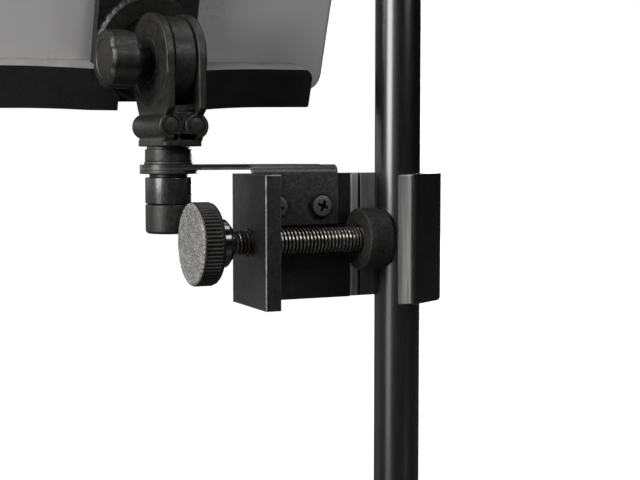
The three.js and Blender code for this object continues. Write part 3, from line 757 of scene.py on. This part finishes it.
def make_arm():
    """The painted arm plate. Its cut ends are bare, and its long sheared edges are bare below."""
    shape = from_node("arm_plate", CLAMP)
    low, high = extent("arm_plate", CLAMP)
    thickness, bare_height, paint_end = 2, 0.85, -76
    plate_low = high.z - thickness
    for face in shape.faces:
        height = face.calc_center_median().z
        upright = abs(face.normal.z) < 0.1
        end = upright and abs(face.normal.x) > 0.99
        under = face.normal.z < -0.9 and height < low.z + 0.1
        edge = upright and height > plate_low - 0.1 and not end
        face.material_index = 1 if end or under else 2 if edge else 0
    line = (CLAMP @ Vector((0, 0, (plate_low + bare_height) * MM))).z
    painted_above(SHEARED_EDGE, line, paint_end * MM)
    piece("bent_arm_plate", shape, CLAMP, ["arm_plate"],
          looks=[PLATE_PAINT, CUT_STEEL, SHEARED_EDGE], bevel=0.18)


def cross_recess(top):
    """A tapered cross for a screwdriver, cut into a head whose highest point is at top along Y."""
    half, width, depth, lean = 2.75, 0.68, 1.7, 22
    mouth = rectangle((-half, half), (-width, width), 0.15, 2)
    floor = rectangle((-half * 0.5, half * 0.5), (-width * 0.7, width * 0.7), 0.1, 2)
    bars = []
    for angle in (lean, lean + 90):
        bar = stack("y", [(top - 1, mouth), (top + depth, floor)])
        bars.append(turned(bar, "Y", math.radians(angle)))
    return bars


def make_tab_screws():
    """Pan head screws in the tab. Their crosses, and the flanks of their heads, are black painted shade."""
    for side in ("left", "right"):
        name = "tab_screw_" + side
        low, high, centre, radius = round_extent(name, CLAMP)
        shank, under, crown = 2.4, low.y + 2.4, radius * 0.84
        profile = [(0, low.y), (radius * 0.6, low.y + 0.06), (crown, low.y + 0.3),
                   (crown + 0.1, low.y + 0.42), (radius, low.y + 1.2), (radius, under), (shank, under),
                   (shank, high.y), (0, high.y)]
        body = cut(spool("y", profile, 0.2, 80), *cross_recess(low.y))
        # Faces in the cross and on the head's flank take black painted shade.
        for face in body.faces:
            spot = face.calc_center_median()
            reach = math.hypot(spot.x, spot.z)
            in_cross = reach < 2.7 and low.y + 0.12 < spot.y < under
            flank = reach > crown + 0.05 and spot.y < under
            face.material_index = int(in_cross or flank)
        piece("pan_head_screw_" + side, moved(body, centre.x, 0, centre.z), CLAMP, [name],
              looks=[SCREW_FACE, PAINTED_SHADE_BLACK], sharp=30)


def make_washers():
    """The washers fill nearly all of the clearance that the mechanism keeps round them."""
    bore, fill, split = 4.3, 0.27, 0.35
    for name, below, edge in (("eye_washer", 0, 0.3), ("neck_washer", fill, 0.2)):
        low, high = extent(name, HEAD)
        ring = hoop("z", bore, high.x, low.z - below, high.z + fill, edge)
        piece(name + "_turned", ring, HEAD, [name], looks=[THIN_WASHER])
    low, high = extent("lock_washer", HEAD)
    low.z -= fill
    high.z += fill
    gap = block((4, high.x + 1), (-split, split), (low.z - 1, high.z + 1))
    spring = cut(hoop("z", bore, high.x, low.z, high.z, 0.12), turned(gap, "Z", math.radians(-65)))
    piece("split_lock_washer", spring, HEAD, ["lock_washer"], looks=[THIN_WASHER], sharp=30)


# ---- clamping screw
def make_knob():
    """The ribbed knob, with a slightly dished and stippled face that is paler, as painted light."""
    low, high = extent("knob", SCREW)
    radius, ribs, rib_depth = high.y, 64, 0.75
    face, back = low.x, high.x
    rib_start, rib_end = face + 1.3, back - 1.5
    core, relief = 3.2, 9

    def rib(angle, r, height):
        if r < radius - 0.4 or not rib_start <= height <= rib_end:
            return r
        wave = abs(math.sin(angle * ribs / 2))
        return r - rib_depth * (1 - wave ** 0.7)

    # The face takes the paler material 1, which paints light on it.
    def on_face(r, height):
        return int(height < face + 0.4 and r < radius - 0.5)

    front = [(0, face + 0.3), (radius * 0.5, face + 0.25), (radius - 2.0, face + 0.12),
             (radius - 1.5, face), (radius - 1.0, face + 0.02), (radius - 0.3, face + 0.5),
             (radius, face + 1.1)]
    side = [rib_start, rib_start + 0.35, rib_start + 0.7, (face + back) / 2, rib_end - 0.7,
            rib_end - 0.35, rib_end]
    rear = [(radius - 0.35, rib_end + 0.15), (radius - 0.45, back - 0.5), (radius - 1.0, back),
            (relief, back), (core, back), (core, face + 2), (0, face + 2)]
    profile = [*front, *[(radius, x) for x in side], *rear]
    shape = lathe("x", profile, ribs * 10, rib, material=on_face)
    piece("ribbed_knob", shape, SCREW, ["knob"], looks=[LOOKS["black_plastic"], KNOB_FACE_PAINTED_LIGHT], sharp=50)


def make_screw():
    """The knob's turned collar, and the screw, whose thread starts behind the collar."""
    low, high = extent("knob_hub", SCREW)
    start = high.x + 0.3
    bore, waist = 3.2, 4.6
    collar = rounded(
        [(bore, low.x), (high.y - 0.4, low.x, 0.4), (high.y, low.x + 1.4, 0.8),
         (high.y, low.x + 4.2, 0.8), (6.5, low.x + 6.3, 1.2), (waist, low.x + 6.7, 0.4),
         (waist, high.x, 0.2), (bore, high.x)], 0, 5)
    piece("polished_knob_collar", lathe("x", collar, 96, closed=True), SCREW, ["knob_hub"])

    low, high = extent("clamp_screw", SCREW)
    thread_end = high.x - 1
    shaft, core = 2.9, 3.6
    profile = [(0, low.x), (shaft, low.x), (shaft, start + 0.5), (core, start + 0.6), (core, thread_end),
               (core - 0.3, high.x), (0, high.x)]
    helix = thread("x", high.y, 0.92, 1.5, start, thread_end)
    piece("threaded_clamp_screw", joined(spool("x", profile, 0.2, 48), helix), SCREW, ["clamp_screw"],
          looks=[LOOKS["dark_steel"], CREST_STEEL])


def make_foot():
    """The rubber foot, hollowed to fit the pole, and the cup in it that turns on the screw's tip."""
    low, high = extent("foot_pad", SCREW)
    cup_low, cup_high = extent("foot_cup", SCREW)
    gap, mouth, saddle_r = 0.3, 5.3, 9.3
    radius, pocket = high.y, cup_high.y + gap
    profile = rounded(
        [(0, high.x), (radius - 1, high.x, 0.7), (radius, high.x - 1, 0.9), (radius, low.x + 0.4, 0.3),
         (radius - 0.4, low.x, 0.3), (mouth + 2.2, low.x + 0.12, 0.5), (mouth, low.x + 0.1, 0.4),
         (mouth, cup_low.x - gap), (pocket, cup_low.x - gap), (pocket, cup_high.x + gap),
         (0, cup_high.x + gap)], 0.2, 6, closed=False)
    pad = cut(lathe("x", profile, 128), prism("z", circle(saddle_r, 128), -20, 20))
    piece("rubber_foot", pad, SCREW, ["foot_pad"], bevel=0.25, bevel_from=40)
    cup = [(0, cup_high.x), (cup_high.y, cup_high.x), (cup_high.y, cup_low.x), (mouth, cup_low.x),
           (mouth, cup_high.x - 1), (0, cup_high.x - 1)]
    piece("foot_swivel_cup", spool("x", cup, 0.25), SCREW, ["foot_cup"])


# ---- head
def make_stud_stack():
    """The stud that the head pans on, the moulded neck round it, and the nut and cap below the arm."""
    low, high = extent("head_stud", HEAD)
    core = rod("z", 3.2, low.z, high.z, 0.3, 48)
    helix = thread("z", high.x, 0.7, 1.25, low.z + 0.2, high.z - 0.2, 48, 10)
    piece("threaded_head_stud", joined(core, helix), HEAD, ["head_stud"])

    bore = 4.3
    low, high = extent("head_neck", HEAD)
    r, top, bore_top, overlap = high.x, 9.35, 8.3, high.z + 0.25
    neck = [(0, bore_top), (bore, bore_top), (bore, low.z), (r - 0.1, low.z), (r, low.z + 0.4),
            (r - 0.05, 9.1), (r - 0.3, 9.3), (r - 0.75, top), (r - 0.75, overlap), (0, overlap)]
    piece("moulded_neck", spool("z", neck, 0.18, 128), HEAD, ["head_neck"])

    low, high = extent("pan_nut", HEAD)
    piece("polished_pan_nut", hoop("z", bore, high.x, low.z, high.z, 0.35, 128), HEAD, ["pan_nut"],
          looks=[SATIN_BLACK])
    low, high = extent("pan_nut_cap", HEAD)
    r, hollow, floor = high.x, 6, -14
    cap = [(0, low.z), (r - 0.9, low.z, 0.6), (r, low.z + 0.9, 0.6), (r, high.z - 0.3),
           (r - 0.3, high.z), (hollow, high.z), (hollow, floor), (0, floor)]
    piece("pan_nut_end_cap", spool("z", cap, 0.25, 128), HEAD, ["pan_nut_cap"])


def yoke_cheek(side, outline, radius, pivot_z):
    """One cheek of the fork, with its raised rim and boss round the pivot."""
    inside, outside = 4.9, 8.2
    faces = sorted((side * inside, side * (outside - 0.35)))
    rim = sorted((side * (outside - 1.2), side * outside))
    ring = hoop("x", radius - 3.2, radius - 0.1, *rim, 0.3, 120)
    boss = hoop("x", 4.2, 8.2, *rim, 0.3, 80)
    return [prism("x", outline, *faces), moved(ring, 0, 0, pivot_z), moved(boss, 0, 0, pivot_z)]


def make_yoke():
    """A moulded fork: two round cheeks with raised rims over a waist with two cross lobes."""
    low, high = extent("yoke", HEAD)
    pivot_z = (PIVOT.translation.z - HEAD.translation.z) / MM
    radius = high.z - pivot_z
    front, floor_z = -14.2, 23.4
    lobe_x, lobe_z, lobe_r, lobe_front, lobe_back = 5.2, 17.9, 4.9, -15, 12
    start, end, steps = math.pi, math.radians(-25), 60
    arc = []
    for i in range(steps + 1):
        angle = start + (end - start) * i / steps
        arc.append((radius * math.cos(angle), pivot_z + radius * math.sin(angle)))
    outline = [(-13, 18), (lobe_front + 0.4, 21.5), (-radius, 24.3), *arc, (9, 20)]
    shapes = [prism("z", rectangle((-8, 8), (front, lobe_back - 0.1), 2), low.z, 12.9),
              block((-5.4, 5.4), (front + 0.4, 11), (12.5, floor_z)),
              block((-7.9, 7.9), (front + 0.1, 9), (12.5, 15.9))]
    for side in (-1, 1):
        lobe = rod("y", lobe_r, lobe_front, lobe_back, 0.6)
        shapes += [*yoke_cheek(side, outline, radius, pivot_z), moved(lobe, side * lobe_x, 0, lobe_z)]
    solid = cast(joined(*shapes), 0.3, 3)
    rib = block((-2.4, -1.5), (-17, -3), (12, 16))
    slot = cut(block((-4.2, 5.6), (front - 1, -6), (12.75, 14.9)), rib)
    sockets = []
    for side in (-1, 1):
        recess = rod("y", 3.5, lobe_front - 1, lobe_front + 0.9)
        sockets.append(moved(recess, side * lobe_x, 0, lobe_z))
    bore = moved(rod("x", 3.2, -10, 10), 0, 0, pivot_z)
    piece("moulded_yoke", cut(solid, slot, *sockets, bore), HEAD, ["yoke"], sharp=45)


def make_head_fasteners():
    """The caps in the fork's cross lobes, and the bolt through its cheeks."""
    for side in ("left", "right"):
        name = "lobe_cap_" + side
        low, high, centre, radius = round_extent(name, HEAD)
        dome = [(0, low.y), (radius * 0.5, low.y + 0.05), (radius, low.y + 0.25), (radius, high.y),
                (0, high.y)]
        cap = moved(spool("y", dome, 0.1, 64), centre.x, 0, centre.z)
        piece("lobe_bolt_cap_" + side, cap, HEAD, [name])

    low, high = extent("tilt_bolt", PIVOT)
    shank, head_r, head_start = 2.9, high.y, high.x - 3
    bolt = [(0, low.x), (shank, low.x), (shank, head_start), (head_r, head_start),
            (head_r, high.x - 0.5), (head_r - 0.6, high.x), (0, high.x)]
    socket = prism("x", hexagon(5), high.x - 2, high.x + 1)
    piece("socket_tilt_bolt", cut(spool("x", bolt, 0.3, 96), socket), PIVOT, ["tilt_bolt"], sharp=30)


def make_tilt_knob():
    """A knob with finger grooves round its skirt, over a narrow collar against the cheek."""
    low, high = extent("tilt_knob", PIVOT)
    radius, grooves, groove_depth = high.y, 7, 0.85
    face, skirt = low.x, low.x + 11.5
    bore, collar = 3.2, 4.5

    def grip(angle, r, height):
        if r < radius - 1.5 or height > skirt - 0.3:
            return r
        return r - groove_depth * (0.5 + 0.5 * math.cos(angle * grooves)) ** 3

    knob = [(0, face + 0.35), (6.8, face + 0.35, 0.2), (7.2, face, 0.2), (radius - 1.1, face, 0.6),
            (radius, face + 1.3, 0.8), (radius, skirt - 1.3, 0.8), (radius - 1.1, skirt, 0.5),
            (collar, skirt, 0.8), (collar, high.x, 0.2), (bore, high.x), (bore, face + 8),
            (0, face + 8)]
    piece("lobed_tilt_knob", spool("x", knob, 0.2, 280, ripple=grip), PIVOT, ["tilt_knob"])


# ---- tilting knuckle and hub
def make_knuckle():
    """The knuckle between the cheeks, and the screw that holds the cradle's hub against it."""
    low, high = extent("knuckle", TILT)
    half, end = high.x, high.y
    radius = -low.y - 0.05
    barrel = rod("x", radius, -half, half, 0.7, 120)
    arm = prism("x", rounded([(0, -9), (end, -9, 0.3), (end, 10, 0.3), (0, 10)], 0.3), -half, half)
    solid = cast(joined(barrel, arm), 0.28, 2)
    shape = cut(solid, rod("x", 3.2, -6, 6), rod("y", 3.3, 12, end + 1))
    piece("moulded_knuckle", shape, TILT, ["knuckle"], sharp=45)

    low, high = extent("hub_screw", TILT)
    shank, head_low = 3, high.y - 1.8
    screw = [(0, low.y), (shank, low.y), (shank, head_low), (high.x, head_low),
             (high.x, head_low + 1.1), (5.6, high.y), (0, high.y)]
    socket = prism("y", hexagon(4), high.y - 1.2, high.y + 1)
    piece("socket_hub_screw", cut(spool("y", screw, 0.35, 96), socket), TILT, ["hub_screw"], sharp=30)


def make_hub_disc():
    """The disc that the cradle turns on, with a shallow ring groove and index teeth round its rim."""
    low, high = extent("hub_disc", CRADLE)
    radius, teeth, tooth_depth = high.x, 36, 0.35
    face, back = low.y, high.y
    bore, groove = 3.4, face + 0.5

    def index_teeth(angle, r, height):
        wave = (0.5 + 0.5 * math.cos(angle * teeth)) ** 4
        return r - (tooth_depth * wave if r > radius - 0.4 else 0)

    disc = [(bore, face), (8, face, 0.2), (8.4, groove, 0.2), (12.6, groove, 0.2), (13, face, 0.2),
            (radius - 1.3, face, 0.5), (radius, face + 1.2, 0.6), (radius, back, 0.2), (bore, back)]
    shape = lathe("y", rounded(disc, 0, 5), 360, index_teeth, closed=True)
    piece("indexed_hub_disc", shape, CRADLE, ["hub_disc"])


# ---- cradle
def make_cradle():
    """The spine, the lip with a painted reflection along its top, the pads, and the ribbed cover over the springs.
    """
    trimmed("spine", CRADLE, 0.35)
    lip = from_node("bottom_lip", CRADLE)
    top = extent("bottom_lip", CRADLE)[1].z
    # The lip's top face takes the pale material 1, a painted reflection.
    for face in lip.faces:
        face.material_index = int(face.normal.z > 0.9 and face.calc_center_median().z > top - 0.3)
    piece("lined_bottom_lip", lip, CRADLE, ["bottom_lip"], looks=[LOOKS["frame_black"], LIP_TOP_PAINTED_REFLECTION],
          bevel=0.4, bevel_from=30)
    trimmed("lip_pad", CRADLE, 0.2)
    trimmed("spine_pad_left", CRADLE, 0.5)
    trimmed("spine_pad_right", CRADLE, 0.5)

    low, high = extent("spring_cover", CRADLE)
    half, sunk, raised, margin = 0.7, 0.3, 0.25, 6
    ribs = []
    for x in (-9, -3, 3, 9):
        depth, height = (high.y - sunk, high.y + raised), (low.z + margin, high.z - margin)
        ribs.append(block((x - half, x + half), depth, height))
    cover = joined(from_node("spring_cover", CRADLE), *ribs)
    piece("ribbed_spring_cover", cover, CRADLE, ["spring_cover"], bevel=0.2)


def make_springs():
    for side in ("left", "right"):
        name = "return_spring_" + side
        low, high, centre, radius = round_extent(name, CRADLE)
        wire, coils, steps = 0.16, 52, 14
        radius -= wire
        length = high.z - low.z - 2 * wire
        helix = []
        for i in range(coils * steps + 1):
            angle = TAU * i / steps
            height = low.z + wire + length * i / (coils * steps)
            helix.append((centre.x + radius * math.cos(angle), centre.y + radius * math.sin(angle), height))
        piece("coiled_return_spring_" + side, tube(helix, wire, 6), CRADLE, [name])


def make_top_arm():
    """The sprung arm with its hook, the hook's pad, and the two rivets that hold the hook."""
    trimmed("top_arm", CRADLE, 0.25)
    trimmed("top_hook", CRADLE, 0.6, bevel_from=30)
    trimmed("top_hook_pad", CRADLE, 0.2)
    for side in ("left", "right"):
        name = "hook_rivet_" + side
        low, high, centre, radius = round_extent(name, CRADLE)
        dome = [(0, low.y), (radius * 0.55, low.y + 0.12), (radius * 0.9, low.y + 0.55),
                (radius, low.y + 1.0), (radius, high.y), (0, high.y)]
        rivet = moved(spool("y", dome, 0.2, 48), centre.x, 0, centre.z)
        piece("domed_rivet_" + side, rivet, CRADLE, [name])


# ---- tablet
TABLET_CORNER = 8


def tablet_layers(x, z, back, front):
    """Outlines from the back to the front, with a deep curve at the back and a small one in front."""
    edge, front_edge = 2.2, 0.3
    layers = []
    for step in range(9):
        angle = math.pi / 2 * step / 8
        inset = edge * (1 - math.sin(angle))
        depth = back + edge * (1 - math.cos(angle)) * 0.8
        layers.append((depth, rectangle(*grown(x, z, -inset), TABLET_CORNER - inset, 12)))
    for step in range(5):
        angle = math.pi / 2 * step / 4
        inset = front_edge * (1 - math.cos(angle))
        depth = front - front_edge * (1 - math.sin(angle))
        layers.append((depth, rectangle(*grown(x, z, -inset), TABLET_CORNER - inset, 12)))
    return layers


def tablet_holes(low, high):
    """Tools for the screen's tray and the holes for the camera, keys, port and speakers."""
    back, front = low.y, high.y
    key_low, key_high = extent("power_button", CRADLE)
    middle = (key_low.y + key_high.y) / 2
    half, gap, depth = 1.6, 0.3, 1.6
    across = (middle - half, middle + half)
    tray = rectangle(*grown((low.x, high.x), (low.z, high.z), -1.4), TABLET_CORNER - 1.4, 12)
    lens, lens_r = round_extent("camera_ring", CRADLE)[2:]
    eye = rod("y", lens_r + gap, back - 1, back + 1.6, 0, 64)
    tools = [prism("y", tray, front - 1.1, front + 1), moved(eye, lens.x, 0, lens.z)]
    pocket = rectangle((key_low.x - gap, key_high.x + gap), across, 1.5)
    tools.append(prism("z", pocket, high.z - depth, high.z + 1))
    for key in ("volume_down", "volume_up"):
        key_low, key_high = extent(key, CRADLE)
        pocket = rectangle(across, (key_low.z - gap, key_high.z + gap), 1.5)
        tools.append(prism("x", pocket, high.x - depth, high.x + 1))
    port = rectangle((-4.4, 4.4), (middle - 1.4, middle + 1.4), 1.3)
    tools.append(prism("z", port, low.z - 1, low.z + 1.5))
    for side in (-1, 1):
        for i in range(7):
            hole = rod("z", 0.55, high.z - 1, high.z + 1, 0, 20)
            tools.append(moved(hole, side * (30 + 2.4 * i), middle, 0))
    return tools


def make_tablet_shell():
    low, high = extent("tablet_shell", CRADLE)
    shell = stack("y", tablet_layers((low.x, high.x), (low.z, high.z), low.y, high.y))
    shape = cut(shell, *tablet_holes(low, high))
    # Faces round the shell's edge take the darker material 1, a painted dark reflection.
    for face in shape.faces:
        face.material_index = int(abs(face.normal.y) < 0.7)
    piece("tablet_back_shell", shape, CRADLE, ["tablet_shell"],
          looks=[LOOKS["tablet_grey"], TABLET_EDGE_DARK_REFLECTION], sharp=30)


def make_tablet_glass():
    """The front glass, with a rounded edge, and the dark screen inside its bezel."""
    low, high = extent("tablet_glass", CRADLE)
    x, z = (low.x, high.x), (low.z, high.z)
    corner = TABLET_CORNER - 1.7
    layers = []
    for inset, share in ((0, 0.0), (0, 0.55), (0.08, 0.8), (0.25, 0.94), (0.5, 1.0)):
        height = low.y + share * (high.y - low.y)
        layers.append((height, rectangle(*grown(x, z, -inset), corner - inset, 12)))
    side, end = 7.5, 15
    screen = rectangle((x[0] + side, x[1] - side), (z[0] + end, z[1] - end), 0.6, 12)
    layers.append((high.y, screen))
    piece("tablet_front_glass", stack("y", layers, [0, 0, 0, 0, 0, 1]), CRADLE, ["tablet_glass"],
          looks=[LOOKS["tablet_glass"], SCREEN], sharp=40)


def make_tablet_camera():
    """The camera's ring and the lens glass in it, which has no CAD node."""
    low, high, lens, radius = round_extent("camera_ring", CRADLE)
    bore = 2.2
    bezel = [(bore, low.y + 1.1), (bore, low.y, 0.15), (3.1, low.y, 0.25), (radius, low.y + 0.5),
             (radius, high.y), (bore, high.y)]
    ring = moved(lathe("y", rounded(bezel, 0, 4), 80, closed=True), lens.x, 0, lens.z)
    piece("camera_bezel", ring, CRADLE, ["camera_ring"])
    edge = bore - 0.05
    glass = [(0, low.y + 0.35), (1.2, low.y + 0.45), (edge, low.y + 0.8), (edge, high.y), (0, high.y)]
    piece("camera_lens_glass", moved(spool("y", glass, 0.1, 64), lens.x, 0, lens.z), CRADLE,
          body="cradle", slot="tablet_glass", looks=[LENS])


def make_tablet_keys():
    """One key in the tablet's top edge and two in its side."""
    corner, edge = 1.25, 0.3
    for key in ("power_button", "volume_down", "volume_up"):
        low, high = extent(key, CRADLE)
        if key == "power_button":
            shape = pill("z", (low.x, high.x), (low.y, high.y), low.z, high.z, corner, edge)
        else:
            shape = pill("x", (low.y, high.y), (low.z, high.z), low.x, high.x, corner, edge)
        piece(key + "_key", shape, CRADLE, [key])


# ---- studio
def soft_light(name, place, target, size, power):
    data = bpy.data.lights.new(name, "AREA")
    data.shape = "RECTANGLE"
    data.size, data.size_y = size
    data.energy = power
    made = bpy.data.objects.new(name, data)
    made.location = place
    made.rotation_euler = (Vector(target) - Vector(place)).to_track_quat("-Z", "Y").to_euler()
    bpy.context.scene.collection.objects.link(made)


def make_floor():
    bm = bmesh.new()
    bmesh.ops.create_circle(bm, cap_ends=True, radius=6, segments=96)
    floor = as_object(bm, "floor")
    floor.data.materials.append(pale_floor())


def make_room():
    """A dark room with one bright side, behind a background that the camera sees as white."""
    world = bpy.data.worlds.new("studio")
    world.use_nodes = True
    tree = world.node_tree
    background = tree.nodes["Background"]
    looking = node(tree, "ShaderNodeLightPath").outputs["Is Camera Ray"]
    place = node(tree, "ShaderNodeTexCoord").outputs["Generated"]
    share = spread(tree, likeness(tree, place, (-0.97, 0.25, 0)), 0, 1, 0.1, 0.8)
    room = mixed(tree, share, (0.012, 0.012, 0.012), (0.85, 0.84, 0.83))
    seen = mixed(tree, looking, room, (1, 1, 1))
    tree.links.new(seen, background.inputs["Color"])
    background.inputs["Strength"].default_value = 1.0
    bpy.context.scene.world = world


def make_studio():
    bpy.context.scene.view_settings.view_transform = "Standard"
    make_floor()
    make_room()
    target = (-0.05, 0, CLAMP_TOP)
    soft_light("left_softbox", (-1.15, -0.40, 0.62), target, (0.55, 1.1), 28)
    soft_light("front_softbox", (0.50, -1.10, 0.85), target, (0.5, 0.35), 6)
    soft_light("back_softbox", (-0.95, 1.05, 0.75), target, (0.8, 0.8), 2.4)
    soft_light("right_softbox", (0.85, 1.15, 0.25), target, (0.5, 0.8), 12)
    soft_light("top_softbox", (0.5, -0.1, 1.35), target, (0.45, 0.45), 4)


def pale_floor():
    """A pale, evenly lit floor. It looks nearly white, and keeps soft contact shadows."""
    material = surface("pale_floor", (0.08, 0.08, 0.08), 0.3, mottle=0.01, mottle_mm=300, grain_mm=3,
                       grain=0.02, specular=0.5)
    tree = material.node_tree
    lit = node(tree, "ShaderNodeEmission", Color=(1, 1, 1, 1), Strength=1.15)
    looking = node(tree, "ShaderNodeLightPath").outputs["Is Camera Ray"]
    blend = node(tree, "ShaderNodeMixShader")
    paint = tree.nodes["Principled BSDF"].outputs["BSDF"]
    share = worked_out(tree, "MULTIPLY", looking, 0.9)
    for socket, value in zip(blend.inputs, (share, paint, lit.outputs["Emission"])):
        feed(tree, socket, value)
    feed(tree, tree.nodes["Material Output"].inputs["Surface"], blend.outputs["Shader"])
    return material


def make_camera():
    """The camera stands a little over the clamp's top and looks across it from the open side."""
    data = bpy.data.cameras.new("camera")
    data.lens = 67.5
    data.sensor_width = 36
    data.clip_start, data.clip_end = 0.02, 50
    made = bpy.data.objects.new("camera", data)
    aside, away, above = -0.2267, -0.4177, 0.00803
    down, sideways = 4.17, 24.8
    made.location = (aside, away, CLAMP_TOP + above)
    made.rotation_euler = (math.radians(90 - down), 0, math.radians(-sideways))
    bpy.context.scene.collection.objects.link(made)
    bpy.context.scene.camera = made


make_camera()
make_studio()
make_pole()
make_lock_ring()
make_pole_stud()
make_clamp()
make_arm()
make_tab_screws()
make_washers()
make_knob()
make_screw()
make_foot()
make_stud_stack()
make_yoke()
make_head_fasteners()
make_tilt_knob()
make_knuckle()
make_hub_disc()
make_cradle()
make_springs()
make_top_arm()
make_tablet_shell()
make_tablet_glass()
make_tablet_camera()
make_tablet_keys()
